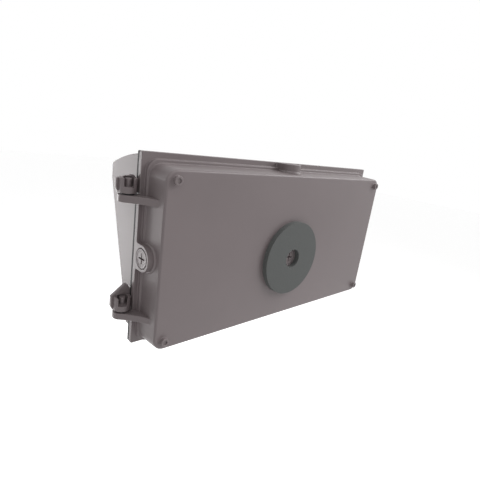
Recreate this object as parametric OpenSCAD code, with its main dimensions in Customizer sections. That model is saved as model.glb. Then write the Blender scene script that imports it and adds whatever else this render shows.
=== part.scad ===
// Wall pack light: a die-cast back box that screws to a wall, with a side-hinged,
// wedge-shaped door that carries a slanted lens in front of two boards of light chips.
// X runs along the wall, +Y points into the wall and +Z is up. The origin is the middle
// of the four wall screws, on the plane of their boss faces. Depths are measured from
// the rear face of the box towards the front, and heights and widths from the origin.

/* [Back box] */
// Width of the rear face
box_w = 404; // [380:1:440]
// Height of the rear face
box_h = 195; // [185:1:215]
// Depth from the rear face to the back of the flange
box_depth = 35.2; // [34.5:0.1:50]
// How much each side spreads between the rear face and the flange
box_draft = 1.8; // [0.5:0.1:3]
// Radius of the box corners, seen from the rear
box_corner_r = 13; // [10:0.5:20]
// Rounding of the edge round the rear face
box_edge_r = 2.6; // [1:0.1:4]
// Thickness of the box walls
wall_t = 3; // [2.5:0.1:4]
// Flange beyond the box at each side
flange_side = 8.2; // [7.5:0.1:12]
// Flange above the box
flange_rise = 12; // [10:0.1:16]
// Flange below the box
flange_drop = 4.9; // [4.5:0.1:8]
// Thickness of the flange
flange_t = 5.7; // [5:0.1:8]
// Radius of the flange corners
flange_corner_r = 1.5; // [1:0.5:8]
// Height of the ridge that frames the box on the back of the flange
ridge_h = 4.3; // [2:0.1:6]
// Ridge beyond the spread box at the sides and below
ridge_side = 1.5; // [1:0.1:2.5]
// Ridge above the spread box
ridge_rise = 3.7; // [2:0.1:5]

/* [Wall fixing] */
// Distance from the box side to a wall screw
fix_inset_x = 11.4; // [10:0.1:14]
// Distance from the box top or bottom to a wall screw
fix_inset_z = 10.5; // [10:0.1:14]
// Height of the screw bosses behind the rear face
fix_boss_h = 4.5; // [3:0.1:6]
// Radius of the screw bosses
fix_boss_r = 4.8; // [4:0.1:6]
// Radius of the wall screw holes
fix_hole_r = 2.5; // [2:0.1:3]
// Radius of the foam wall gasket
wall_gasket_r = 50.6; // [40:0.1:60]
// Radius of the hole in the wall gasket
wall_gasket_hole_r = 12.8; // [12:0.1:16]
// Thickness of the wall gasket
wall_gasket_t = 6.8; // [5:0.1:10]

/* [Conduit entries] */
// Radius of each threaded conduit hole
entry_r = 11.1; // [9:0.1:12]
// Radius of the boss round a conduit hole
entry_boss_r = 14.35; // [13.5:0.05:16]
// Depth of the side and top entries
entry_depth = 23.7; // [20:0.1:25]
// Height of the side entries
side_entry_z = 1.7; // [-10:0.1:10]
// Height of the rear entry, which is the middle of the wall gasket
rear_entry_z = -13.6; // [-20:0.1:0]
// Height of the boss inside the box behind the rear entry
rear_boss_h = 6; // [4:0.5:10]
// Radius of the curve that blends an entry boss into the flange
entry_blend_r = 6; // [3:0.5:8]
// How far that curve cuts into the boss, so that the two meet in an edge
entry_blend_lap = 0.1; // [0.05:0.01:0.2]
// Length of a plug
plug_l = 9; // [7:0.5:10]
// Radial gap round a plug
plug_gap = 0.1; // [0.05:0.01:0.1]
// Bevel round the face of a plug
plug_bevel = 0.8; // [0.4:0.1:1.2]
// Length of one arm of the cross slot in a plug
plug_cross_l = 5; // [4:0.1:6]
// Width of the cross slot in a plug
plug_cross_w = 1.8; // [1:0.1:2.5]
// Depth of the cross slot in a plug
plug_cross_deep = 3; // [2:0.1:4]

/* [Hinges] */
// Distance of the hinge line beyond the flange side
hinge_out = 9.4; // [9.3:0.1:12]
// Distance of the hinge line in front of the flange
hinge_forward = 1.1; // [0.5:0.1:2]
// Radius of a knuckle and of an ear
knuckle_r = 9; // [7.5:0.1:9]
// Radius of a hinge pin
pin_r = 3.4; // [2.5:0.1:4]
// Distance from the flange top down to the bottom of the upper ear
upper_ear_drop = 50.2; // [45:0.1:56]
// Distance from the flange bottom up to the bottom of the lower ear
lower_ear_rise = 32; // [28:0.1:40]
// Thickness of an ear
ear_t = 6.2; // [5:0.1:8]
// Gap between an ear and the knuckle above it
ear_gap = 1.5; // [1.2:0.1:2]
// Depth at which an ear leaves the box side
ear_start = 11; // [8:0.5:16]
// Height of a knuckle
knuckle_h = 15.3; // [12:0.1:20]
// Height of the closed ring at the bottom of a knuckle
knuckle_ring_h = 6.5; // [5:0.1:8]
// Width of the slot in the top of a knuckle
knuckle_slot_w = 11; // [9:0.1:12]
// Peak of the plate on the upper hinge above its knuckle
upper_peak = 2.4; // [1:0.1:6]
// Peak of the plate on the lower hinge above its knuckle
lower_peak = 12.7; // [8:0.1:16]
// Radial play of a knuckle on its pin
pin_play = 0.08; // [0.05:0.01:0.1]
// Radial gap of a pin pressed in its ear
pin_press_gap = 0.03; // [0.02:0.01:0.05]

/* [Door] */
// Space between the flange and the door, which the door gasket fills
seam = 3.3; // [3:0.1:5]
// Distance from the flange side to the door side
door_inset = 3.7; // [3:0.1:5]
// Distance from the flange top to the door top
door_inset_top = 3.5; // [3:0.1:6]
// Door below the flange
door_drop = 1.7; // [0:0.1:3]
// Depth of the straight rim of the door
rim_t = 4.3; // [4:0.1:8]
// Thickness of the door walls
door_wall = 3; // [2.5:0.1:3.4]
// Radius of the curved top of the door
top_r = 228; // [180:1:300]
// Fall of the top where it leaves the rim, in degrees
top_start_angle = 7.5; // [4:0.5:12]
// Fall of the top where it meets the brow, in degrees
top_end_angle = 22.8; // [18:0.2:26]
// Radius of the edge between the top and the brow
nose_r = 3.5; // [3.5:0.5:8]
// Height of the upright brow between the top and the slanted front
brow_h = 15; // [12:0.5:20]
// Radius of the bend between the brow and the slanted front
bend_r = 12; // [6:0.5:20]
// Depth of the foot of the slanted front beyond the rim
foot_out = 8.7; // [6:0.1:16]
// Height of that foot above the lower edge of the rim
foot_rise = 17.1; // [15:0.1:24]
// Radius of the edge along the foot
foot_r = 3.5; // [3.5:0.5:6]

/* [Lens] */
// Door beside the window, on each side
window_side = 34.5; // [26.5:0.5:56]
// Distance from the foot of the slope to the window
window_low = 22; // [20:0.5:30]
// Distance from the window to the top of the slope
window_high = 20; // [18:0.5:30]
// Radius of the window corners
window_corner_r = 8; // [4:1:16]
// Lap of the lens behind the edge of the window
lens_lap = 7; // [5:0.5:8]
// Thickness of the lens
lens_t = 4; // [3:0.1:5]
// Thickness of the lens gasket
lens_gasket_t = 1.5; // [1:0.1:2]

/* [Latch] */
// Distance from the flange top down to the upper latch screw
upper_latch_drop = 37.5; // [30:0.5:50]
// Distance from the flange bottom up to the lower latch screw
lower_latch_rise = 46.4; // [32:0.1:52]
// Radius of a latch lug
lug_r = 7.5; // [6:0.1:8]
// Length of a lug on the box
box_lug_l = 19; // [16:0.5:24]
// Length of a lug on the door
door_lug_l = 14; // [14:0.5:18]
// Radius of the neck of a latch screw
neck_r = 1.9; // [1.5:0.1:2]
// Radius of the threaded end of a latch screw
thread_r = 2.4; // [2.2:0.1:2.6]
// Length of the threaded end of a latch screw
thread_l = 8; // [6:0.5:8]

/* [Light boards] */
// Gap between the gear tray and the box wall, at each side
tray_side_gap = 13; // [12:0.5:16]
// Gap between the gear tray and the box wall, above and below
tray_end_gap = 9.5; // [8.5:0.5:14]
// Thickness of the gear tray
tray_t = 1.5; // [1:0.1:2]
// Gear tray beyond the light boards, at each side
board_side_gap = 36; // [34:1:56]
// Height of a light board
board_h = 46; // [36:1:50]
// Thickness of a light board
board_t = 1.6; // [1:0.1:2]
// Distance between the middles of the two boards
board_pitch = 72; // [64:1:74]
// Number of light chips along a row
chips_along = 14; // [8:1:16]
// Width and height of a light chip
chip_w = 5; // [3:0.1:6]
// Thickness of a light chip
chip_t = 0.9; // [0.5:0.1:1.2]

/* [Driver] */
// Length of the driver case
driver_l = 120; // [100:1:124]
// Height of the driver case on the wall
driver_w = 54; // [45:1:55]
// Thickness of the driver case
driver_t = 26; // [20:0.5:28]
// Gap between the driver and the bottom of the box
driver_low = 12; // [11.5:0.5:14]

/* [Hidden] */
$fn = 48;

// How far a cut runs past the face that it leaves
over = 1;
// Length of thread beyond what a screw holds, in the box and in the tray
screw_tail = 6;
bronze = [0.46, 0.42, 0.42];
dark_rubber = [0.16, 0.16, 0.16];
foam_grey = [0.36, 0.37, 0.36];
steel_grey = [0.72, 0.72, 0.74];

// Planes of the box
rear_y = -fix_boss_h;
flange_w = box_w + 2 * flange_side;
flange_top = box_h / 2 + flange_rise;
flange_bottom = -box_h / 2 - flange_drop;
flange_front = box_depth + flange_t;
cavity_w = box_w - 2 * wall_t;
cavity_h = box_h - 2 * wall_t;
cavity_r = box_corner_r - wall_t;
tray_w = cavity_w - 2 * tray_side_gap;
tray_h = cavity_h - 2 * tray_end_gap;
board_l = tray_w - 2 * board_side_gap;
fix_x = box_w / 2 - fix_inset_x;
fix_z = box_h / 2 - fix_inset_z;

// Hinge line and the heights of the knuckles
hinge_x = flange_w / 2 + hinge_out;
hinge_y = rear_y - flange_front - hinge_forward;
upper_ear_z = flange_top - upper_ear_drop;
lower_ear_z = flange_bottom + lower_ear_rise;
upper_knuckle_z = upper_ear_z + ear_t + ear_gap;
lower_knuckle_z = lower_ear_z + ear_t + ear_gap;
pin_short = 0.6;
pin_l = ear_t + ear_gap + knuckle_h - pin_short;
washer_t = 0.9;
washer_rim = 3;
// Space in front of the pin inside the knuckle slot
slot_room = 1.2;
// Dip of the curved edge of an ear
ear_dip = 3.5;
// Direction in which the curved edge of an ear meets the round end
ear_meet_angle = 42;
// Edge of a hinge plate beyond the hinge line
plate_reach = 11.4;
// Cut corners of a hinge plate
plate_low_cut = 4.5;
plate_top_cut = 1;
// Peak of a hinge plate inside the hinge line
plate_peak_in = 4;
// Width of the top of a hinge plate and the fall from there to the door
plate_top_w = 5.6;
plate_top_fall = 5;

// Outline of the door in depth and height
rim_rear = flange_front + seam;
rim_front = rim_rear + rim_t;
door_w = flange_w - 2 * door_inset;
door_top = flange_top - door_inset_top;
door_bottom = flange_bottom - door_drop;
top_centre = [
    rim_front - top_r * sin(top_start_angle),
    door_top - top_r * cos(top_start_angle)
];
nose_centre = top_centre + (top_r - nose_r) * [sin(top_end_angle), cos(top_end_angle)];
brow = nose_centre + [nose_r, -brow_h];
foot = [rim_front + foot_out, door_bottom + foot_rise];
slope_l = norm(brow - foot);
slope_angle = atan2(brow[1] - foot[1], foot[0] - brow[0]);
window_w = door_w - 2 * window_side;
window_h = slope_l - window_low - window_high;
plate_t = 4.5;
// Reach of a knuckle from the hinge line into its plate
knuckle_foot = seam - hinge_forward + plate_t / 2;
// Width of the rim lip that the gasket seats on, inside the edge of the box cavity
lip_in = 1;
lip_t = 2.5;
door_corner_r = 2;

// Door gasket: a flat frame over the flange, whose edge shows all round the seam
gasket_in = 1.2;
gasket_side = 0.5;
gasket_gap = 0.3;

// Latch screws
latch_x = -hinge_x;
upper_latch_z = flange_top - upper_latch_drop;
lower_latch_z = flange_bottom + lower_latch_rise;
lug_web = 9;
door_web_t = 6;
neck_gap = 0.25;
thread_gap = 0.3;
neck_seat = 5;
screw_start = 1;
lug_bore_l = 13;
screw_tip = 1.2;
latch_head_r = 5;
latch_head_h = 4;
latch_washer_r = 5.8;
latch_washer_t = 1.2;
latch_slot_w = 1.4;
latch_slot_deep = 2;

// Gear tray, boards and reflector, from the back of the tray to the flange front
tray_back = 6.4;
tray_corner_r = 6;
tray_fold_h = 8;
tray_post_r = 5;
tray_post_in_x = 14;
tray_post_in_z = 11;
tray_depth = flange_front - tray_back;
tray_front = tray_depth + tray_t;
board_front = tray_front + board_t;
tray_post_x = tray_w / 2 - tray_post_in_x;
tray_post_z = tray_h / 2 - tray_post_in_z;
chip_row_gap = 22;
board_screw_shares = [-0.393, -0.107, 0.107, 0.393];
reflector_t = 0.8;
reflector_back = 1.9;
reflector_depth = flange_front - reflector_back;
reflector_gap = 3;
reflector_corner_r = 8;
reflector_open_gap = 5;
reflector_post_in = 7;
reflector_post_r = 5;
reflector_post_x = tray_w / 2 - reflector_post_in;
reflector_post_z_share = 0.18;
reflector_access_r = 5;
connector_w = 6;
connector_h = 10;
connector_t = 2.8;
connector_in = 1;
connector_x = -board_l / 2 + connector_in + connector_w / 2;

// Small screws and the bosses that hold them
screw_r = 1.5;
screw_hole_r = 1.6;
screw_head_r = 3;
screw_head_h = 1.9;
screw_cross_l = 1.9;
screw_cross_w = 0.7;
screw_cross_deep = 1;
gear_boss_r = 4.5;
gear_boss_h = 5;
gear_screw_l = 5.4;
foot_l = 12;
foot_t = 1.2;
foot_w = 16;

// Driver, surge protector, terminal block and ground screw on the rear wall
sheet_t = 1.2;
gear_fit = 0.3;
driver_z = -cavity_h / 2 + driver_low + driver_w / 2;
lead_hole_r = 4;
bushing_flange_r = 5.5;
bushing_flange_t = 1.2;
bushing_bore_r = 3;
lead_depth = wall_t + driver_t / 2;
surge_l = 54;
surge_w = 30;
surge_t = 22;
surge_z = 52;
surge_edge = 3;
terminal_l = 40;
terminal_w = 22;
terminal_t = 18;
terminal_x = 72;
terminal_z = 52;
terminal_poles = 3;
terminal_screw_r = 2.4;
terminal_screw_h = 1.2;
terminal_groove_w = 1.6;
terminal_groove_deep = 5;
ground_x = 40;
ground_z = -20;
ground_boss_h = 6;
ground_r = 2;
ground_hole_r = 2.1;
ground_head_r = 4;
ground_head_h = 2.4;
ring_t = 0.8;
ring_r = 4.5;
crimp_l = 5;
crimp_w = 2.6;
crimp_lap = 0.3;
lead_r = 0.9;
lead_step = 1.6;
lead_sides = 8;
grommet_out = 11;
grommet_x = -board_l / 2 - reflector_open_gap - grommet_out;
// Run of the output leads between the driver and the grommet
output_run = 14;
driver_x = grommet_x + output_run + driver_l / 2;
grommet_r = 5;
grommet_flange_r = 6.5;
grommet_flange_t = 0.7;
grommet_bore_r = 3.6;
// Gap of the leads to the grommet flange, between the tray and the reflector
front_lead_gap = 0.25;
front_lead_depth = tray_front + grommet_flange_t + lead_r + front_lead_gap;
notch_w = 12;

// Lens stack, measured inwards from the slanted face
lens_play = 0.3;
lens_window_gap = 2;
clip_w = 12;
clip_l = 15;
clip_t = 1;
clip_boss_r = 3.6;
clip_out = 4.4;
clip_x_shares = [-0.36, 0, 0.36];
clip_screw_l = 5;
lens_back = door_wall + lens_gasket_t + lens_t;
window_mid = window_low + window_h / 2;

// Places something at a depth behind or in front of the rear face
module at_depth(depth) {
    translate([0, rear_y - depth, 0]) children();
}

// Flat piece with its outline across the wall, from one depth forwards
module slab(depth, t) {
    at_depth(depth) rotate([90, 0, 0]) linear_extrude(t) children();
}

// Round post that runs forwards from one depth
module post(x, z, depth, l, r) {
    translate([x, 0, z]) at_depth(depth) rotate([90, 0, 0]) cylinder(h = l, r = r);
}

// Block across the wall, centred on a place, from one depth forwards
module block(x, z, w, h, depth, t) {
    translate([x - w / 2, rear_y - depth - t, z - h / 2]) cube([w, t, h]);
}

// Rectangle with round corners between two heights
module plate_outline(w, top, bottom, r) {
    translate([-w / 2 + r, bottom]) square([w - 2 * r, top - bottom]);
    translate([-w / 2, bottom + r]) square([w, top - bottom - 2 * r]);
    for (x = [-1, 1], z = [bottom + r, top - r])
        translate([x * (w / 2 - r), z]) circle(r = r);
}

// Cross slot that is cut down from the face at z = 0
module cross_slot(arm, w, deep) {
    for (turn = [0, 90])
        rotate(turn) translate([-arm, -w / 2, -deep]) cube([2 * arm, w, deep + over]);
}

// Pan screw with its head above z = 0 and its shank below
module pan_screw(shank_l) {
    difference() {
        union() {
            cylinder(h = screw_head_h, r = screw_head_r);
            translate([0, 0, -shank_l]) cylinder(h = shank_l + screw_head_h / 2, r = screw_r);
        }
        translate([0, 0, screw_head_h])
            cross_slot(screw_cross_l, screw_cross_w, screw_cross_deep);
    }
}

// Pan screw driven towards the wall, with its head on a face at one depth
module screw_at(x, z, depth, shank_l) {
    translate([x, 0, z]) at_depth(depth) rotate([90, 0, 0]) pan_screw(shank_l);
}

// Corners of a route cut off, with both ends kept
function eased(p) = concat(
    [p[0]],
    [for (i = [0:len(p) - 2], s = [0.25, 0.75])
        if ((i > 0 || s > 0.5) && (i < len(p) - 2 || s < 0.5)) p[i] * (1 - s) + p[i + 1] * s],
    [p[len(p) - 1]]
);
function unit(v) = v / norm(v);
function heading(p, i) =
    i == 0 ? unit(p[1] - p[0]) :
    i == len(p) - 1 ? unit(p[i] - p[i - 1]) :
    unit(unit(p[i] - p[i - 1]) + unit(p[i + 1] - p[i]));
// Points round a lead; lead_aside is a direction that no route follows
lead_aside = [1, 2, 3];
function lead_ring(at, along, r) =
    let (u = unit(cross(along, lead_aside)), v = cross(along, u))
    [for (k = [0:lead_sides - 1])
        at + r * (u * cos(360 * k / lead_sides) + v * sin(360 * k / lead_sides))];

// Lead swept along a route, with its corners eased
module lead(route, r = lead_r) {
    path = eased(eased(route));
    rings = len(path);
    rim = [for (k = [0:lead_sides - 1]) k];
    polyhedron(
        points = [for (i = [0:rings - 1]) each lead_ring(path[i], heading(path, i), r)],
        faces = concat(
            [rim],
            [for (i = [0:rings - 2], k = rim)
                let (a = i * lead_sides, n = (k + 1) % lead_sides)
                each [[a + k, a + lead_sides + n, a + n],
                      [a + k, a + lead_sides + k, a + lead_sides + n]]],
            [[for (k = [lead_sides - 1:-1:0]) (rings - 1) * lead_sides + k]]
        )
    );
}

// Point inside the box, by its place across the wall and its depth
function inside(x, depth, z) = [x, rear_y - depth, z];

// Face of a conduit entry: the boss, blended into the flange on one side
entry_reach = box_depth - entry_depth;
module entry_outline() {
    blend_x = entry_blend_r - entry_reach;
    blend_y = sqrt(pow(entry_boss_r + entry_blend_r - entry_blend_lap, 2) - pow(blend_x, 2));
    circle(r = entry_boss_r);
    difference() {
        polygon([
            [-entry_reach - over, blend_y], [blend_x, blend_y], [0, 0],
            [blend_x, -blend_y], [-entry_reach - over, -blend_y]
        ]);
        for (y = [-blend_y, blend_y]) translate([blend_x, y]) circle(r = entry_blend_r);
    }
}

// Low collar round a boss, which ends in the flange
module entry_collar_outline() {
    collar_r = entry_boss_r + ridge_h;
    intersection() {
        circle(r = collar_r);
        translate([-entry_reach - over, -collar_r])
            square([entry_reach + over + collar_r, 2 * collar_r]);
    }
}

// The three outer conduit entries, drawn outwards from the wall of the box.
// Each child is placed with its z axis pointing out of the box.
module on_side(side, out) {
    mirror([side < 0 ? 1 : 0, 0, 0])
        translate([out, rear_y - entry_depth, side_entry_z]) rotate([90, 0, 90]) children();
}
module on_top(out) {
    translate([0, rear_y - entry_depth, out]) rotate([0, 0, 90]) children();
}

// Ear that carries a hinge pin: a flat fin from the box side to the hinge line
module ear(bottom) {
    root_x = box_w / 2 - wall_t / 2;
    from = [box_w / 2, rear_y - ear_start];
    to = [hinge_x + knuckle_r * cos(ear_meet_angle), hinge_y + knuckle_r * sin(ear_meet_angle)];
    dip = ear_dip * unit([from[1] - to[1], to[0] - from[0]]);
    steps = 8;
    edge = [for (i = [0:steps])
        let (s = i / steps) from + (to - from) * s - dip * 4 * s * (1 - s)];
    translate([0, 0, bottom]) linear_extrude(ear_t) union() {
        translate([hinge_x, hinge_y]) circle(r = knuckle_r);
        polygon(concat(
            [[root_x, rear_y - ear_start]], edge,
            [[hinge_x, hinge_y], [flange_w / 2 - over, rear_y - flange_front],
             [root_x, rear_y - flange_front]]
        ));
    }
}

// Threaded lug for a latch screw, on the box
module box_lug(z) {
    difference() {
        union() {
            post(latch_x, z, flange_front - box_lug_l, box_lug_l, lug_r);
            block((latch_x - box_w / 2) / 2, z, -latch_x - box_w / 2 + wall_t, lug_web,
                flange_front - box_lug_l, box_lug_l);
        }
        post(latch_x, z, flange_front - lug_bore_l, lug_bore_l + over, thread_r + thread_gap);
    }
}

// Rounded, slightly tapered block that the box is cast from
module box_body() {
    hull() for (x = [-1, 1], z = [-1, 1]) {
        translate([x * (box_w / 2 - box_corner_r), 0, z * (box_h / 2 - box_corner_r)]) {
            at_depth(box_edge_r) rotate([90, 0, 0]) rotate_extrude($fn = 32)
                translate([box_corner_r - box_edge_r, 0]) circle(r = box_edge_r, $fn = 20);
            at_depth(box_depth) rotate([90, 0, 0])
                cylinder(h = flange_t / 2, r = box_corner_r + box_draft, $fn = 32);
        }
    }
}

// Places of the bosses for gear on the rear wall
gear_places = [
    [driver_x - driver_l / 2 - foot_l / 2, driver_z],
    [driver_x + driver_l / 2 + foot_l / 2, driver_z],
    [driver_x - surge_l / 2 - foot_l / 2, surge_z],
    [driver_x + surge_l / 2 + foot_l / 2, surge_z],
    [terminal_x - terminal_l / 2 - foot_l / 2, terminal_z],
    [terminal_x + terminal_l / 2 + foot_l / 2, terminal_z]
];

module back_box() color(bronze) difference() {
    union() {
        difference() {
            union() {
                box_body();
                slab(box_depth - ridge_h, ridge_h + over) plate_outline(
                    box_w + 2 * (box_draft + ridge_side),
                    box_h / 2 + box_draft + ridge_rise,
                    -box_h / 2 - box_draft - ridge_side,
                    box_corner_r
                );
                slab(box_depth, flange_t)
                    plate_outline(flange_w, flange_top, flange_bottom, flange_corner_r);
                for (side = [-1, 1]) on_side(side, box_w / 2 - wall_t) {
                    linear_extrude(flange_side + wall_t) entry_outline();
                    linear_extrude(wall_t + box_draft + ridge_side) entry_collar_outline();
                }
                on_top(box_h / 2 - wall_t) {
                    linear_extrude(flange_rise + wall_t) entry_outline();
                    linear_extrude(wall_t + box_draft + ridge_rise) entry_collar_outline();
                }
            }
            slab(wall_t, flange_front)
                plate_outline(cavity_w, cavity_h / 2, -cavity_h / 2, cavity_r);
        }
        for (x = [-fix_x, fix_x], z = [-fix_z, fix_z])
            post(x, z, -fix_boss_h, fix_boss_h + wall_t / 2, fix_boss_r);
        post(0, rear_entry_z, wall_t / 2, rear_boss_h + wall_t / 2, entry_boss_r);
        for (x = [-tray_post_x, tray_post_x], z = [-tray_post_z, tray_post_z])
            post(x, z, wall_t / 2, tray_depth - wall_t / 2, tray_post_r);
        for (place = gear_places)
            post(place[0], place[1], wall_t / 2, gear_boss_h + wall_t / 2, gear_boss_r);
        post(ground_x, ground_z, wall_t / 2, ground_boss_h + wall_t / 2, gear_boss_r);
        ear(upper_ear_z);
        ear(lower_ear_z);
        box_lug(upper_latch_z);
        box_lug(lower_latch_z);
    }
    for (x = [-fix_x, fix_x], z = [-fix_z, fix_z])
        post(x, z, -fix_boss_h - over, fix_boss_h + wall_t + 2 * over, fix_hole_r);
    post(0, rear_entry_z, -over, wall_t + rear_boss_h + 2 * over, entry_r);
    for (side = [-1, 1]) on_side(side, box_w / 2 - wall_t - over)
        cylinder(h = flange_side + wall_t + 2 * over, r = entry_r);
    on_top(box_h / 2 - wall_t - over)
        cylinder(h = flange_rise + wall_t + 2 * over, r = entry_r);
    for (x = [-tray_post_x, tray_post_x], z = [-tray_post_z, tray_post_z])
        post(x, z, tray_depth - screw_tail - over, screw_tail + 2 * over, screw_hole_r);
    for (place = gear_places)
        post(place[0], place[1], wall_t, gear_boss_h + over, screw_hole_r);
    post(ground_x, ground_z, wall_t, ground_boss_h + over, ground_hole_r);
    for (bottom = [upper_ear_z, lower_ear_z])
        translate([hinge_x, hinge_y, bottom - over])
            cylinder(h = ear_t + 2 * over, r = pin_r + pin_press_gap);
}

module wall_gasket() color(foam_grey) difference() {
    post(0, rear_entry_z, -wall_gasket_t, wall_gasket_t, wall_gasket_r);
    post(0, rear_entry_z, -wall_gasket_t - over, wall_gasket_t + 2 * over, wall_gasket_hole_r);
}

// Conduit plug with its slotted face at z = 0 and its thread below
module conduit_plug() {
    plug_r = entry_r - plug_gap;
    difference() {
        union() {
            translate([0, 0, -plug_l]) cylinder(h = plug_l - plug_bevel, r = plug_r);
            translate([0, 0, -plug_bevel])
                cylinder(h = plug_bevel, r1 = plug_r, r2 = plug_r - plug_bevel);
        }
        cross_slot(plug_cross_l, plug_cross_w, plug_cross_deep);
    }
}

module rear_conduit_plug() color(bronze)
    translate([0, rear_y, rear_entry_z]) rotate([-90, 0, 0]) conduit_plug();

module top_conduit_plug() color(bronze) on_top(flange_top) conduit_plug();

module side_conduit_plugs() color(bronze)
    for (side = [-1, 1]) on_side(side, flange_w / 2) conduit_plug();

module hinge_pins() color(bronze)
    for (bottom = [upper_ear_z, lower_ear_z])
        translate([hinge_x, hinge_y, bottom]) cylinder(h = pin_l, r = pin_r);

module hinge_washers() color(dark_rubber)
    for (bottom = [upper_ear_z, lower_ear_z])
        translate([hinge_x, hinge_y, bottom + ear_t]) difference() {
            cylinder(h = washer_t, r = pin_r + washer_rim);
            translate([0, 0, -over]) cylinder(h = washer_t + 2 * over, r = pin_r + pin_play);
        }

// Two feet that bolt a case to its bosses on the rear wall
module case_feet(x, z, l) {
    for (side = [-1, 1]) difference() {
        block(x + side * (l / 2 + foot_l / 2), z, foot_l, foot_w, wall_t + gear_boss_h, foot_t);
        post(x + side * (l / 2 + foot_l / 2), z, wall_t + gear_boss_h - over,
            foot_t + 2 * over, screw_r + gear_fit);
    }
}

module driver_case() color(steel_grey) {
    difference() {
        block(driver_x, driver_z, driver_l, driver_w, wall_t, driver_t);
        block(driver_x, driver_z, driver_l - 2 * sheet_t, driver_w - 2 * sheet_t,
            wall_t + sheet_t, driver_t);
        translate([driver_x - driver_l / 2 - over, rear_y - lead_depth, driver_z])
            rotate([0, 90, 0]) cylinder(h = driver_l + 2 * over, r = lead_hole_r);
    }
    case_feet(driver_x, driver_z, driver_l);
}

module driver_lid() color(steel_grey)
    block(driver_x, driver_z, driver_l, driver_w, wall_t + driver_t, sheet_t);

module driver_potting() color(dark_rubber)
    block(driver_x, driver_z, driver_l - 2 * (sheet_t + gear_fit + bushing_flange_t),
        driver_w - 2 * (sheet_t + gear_fit), wall_t + sheet_t, driver_t - sheet_t - gear_fit);

// Rubber bushing in each end wall of the driver case
module driver_bushings() color(dark_rubber)
    for (side = [-1, 1])
        translate([driver_x, rear_y - lead_depth, driver_z])
            mirror([side < 0 ? 1 : 0, 0, 0]) translate([driver_l / 2, 0, 0])
            rotate([0, 90, 0]) difference() {
                union() {
                    translate([0, 0, -sheet_t])
                        cylinder(h = sheet_t + bushing_flange_t, r = lead_hole_r - pin_play);
                    cylinder(h = bushing_flange_t, r = bushing_flange_r);
                }
                translate([0, 0, -sheet_t - over])
                    cylinder(h = sheet_t + bushing_flange_t + 2 * over, r = bushing_bore_r);
            }

module surge_protector() color([0.12, 0.12, 0.13]) {
    difference() {
        block(driver_x, surge_z, surge_l, surge_w, wall_t, surge_t);
        for (z = [-1, 1])
            translate([driver_x, rear_y - wall_t - surge_t, surge_z + z * surge_w / 2])
                rotate([45, 0, 0])
                cube([surge_l + 2 * over, surge_edge, surge_edge], center = true);
    }
    case_feet(driver_x, surge_z, surge_l);
}

function pole_x(i) = terminal_x + (i - (terminal_poles - 1) / 2) * terminal_l / terminal_poles;

module terminal_block() color([0.9, 0.9, 0.86]) {
    difference() {
        block(terminal_x, terminal_z, terminal_l, terminal_w, wall_t, terminal_t);
        for (i = [0:terminal_poles - 2])
            block((pole_x(i) + pole_x(i + 1)) / 2, terminal_z, terminal_groove_w,
                terminal_w + 2 * over, wall_t + terminal_t - terminal_groove_deep,
                terminal_groove_deep + over);
    }
    case_feet(terminal_x, terminal_z, terminal_l);
}

module terminal_screws() color(steel_grey)
    for (i = [0:terminal_poles - 1])
        post(pole_x(i), terminal_z, wall_t + terminal_t, terminal_screw_h, terminal_screw_r);

module gear_screws() color(steel_grey)
    for (place = gear_places)
        screw_at(place[0], place[1], wall_t + gear_boss_h + foot_t, gear_screw_l);

module ground_screw() color([0.2, 0.5, 0.28])
    translate([ground_x, 0, ground_z]) at_depth(wall_t + ground_boss_h + ring_t)
        rotate([90, 0, 0]) difference() {
            union() {
                cylinder(h = ground_head_h, r = ground_head_r);
                translate([0, 0, -ground_boss_h]) cylinder(h = ground_boss_h + over, r = ground_r);
            }
            translate([0, 0, ground_head_h])
                cross_slot(screw_cross_l, screw_cross_w, screw_cross_deep);
        }

// Supply side: driver to terminal block, and surge protector to terminal block
driver_end_x = driver_x + driver_l / 2 + bushing_flange_t;
driver_start_x = driver_x - driver_l / 2 - bushing_flange_t;
lead_run = 14;
module supply_leads() color([0.1, 0.1, 0.1]) {
    for (i = [0, 2]) {
        z = driver_z + (1 - i) * lead_step;
        lead([
            inside(driver_end_x, lead_depth, z),
            inside(driver_end_x + lead_run, lead_depth, z),
            inside(pole_x(i) - lead_run, lead_depth, z),
            inside(pole_x(i), lead_depth, z + lead_run),
            inside(pole_x(i), wall_t + terminal_t / 2, terminal_z - terminal_w / 2 - lead_run),
            inside(pole_x(i), wall_t + terminal_t / 2, terminal_z - terminal_w / 2)
        ]);
    }
    for (side = [-1, 1])
        lead([
            inside(driver_x + surge_l / 2, lead_depth, surge_z + side * terminal_w / 4),
            inside(driver_x + surge_l, lead_depth, surge_z + side * terminal_w / 4),
            inside(terminal_x - terminal_l, wall_t + terminal_t * 2 / 3,
                terminal_z + side * terminal_w / 4),
            inside(terminal_x - terminal_l / 2, wall_t + terminal_t * 2 / 3,
                terminal_z + side * terminal_w / 4)
        ]);
}

// Ground lead, crimped to a ring under the ground screw
module ground_lead() color([0.2, 0.5, 0.28]) {
    ring_depth = wall_t + ground_boss_h;
    start_depth = lead_depth - 1.2 * lead_step;
    crimp_end = ground_z - ring_r - crimp_l;
    difference() {
        post(ground_x, ground_z, ring_depth, ring_t, ring_r);
        post(ground_x, ground_z, ring_depth - over, ring_t + 2 * over, ground_hole_r);
    }
    block(ground_x, crimp_end + (crimp_l + crimp_lap) / 2, crimp_w, crimp_l + crimp_lap,
        ring_depth, crimp_w);
    lead([
        inside(driver_end_x, start_depth, driver_z),
        inside(driver_end_x + lead_run, start_depth, driver_z),
        inside(ground_x, start_depth - lead_step, driver_z),
        inside(ground_x, ring_depth + crimp_w / 2, crimp_end - lead_run),
        inside(ground_x, ring_depth + crimp_w / 2, crimp_end + over)
    ]);
}

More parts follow.
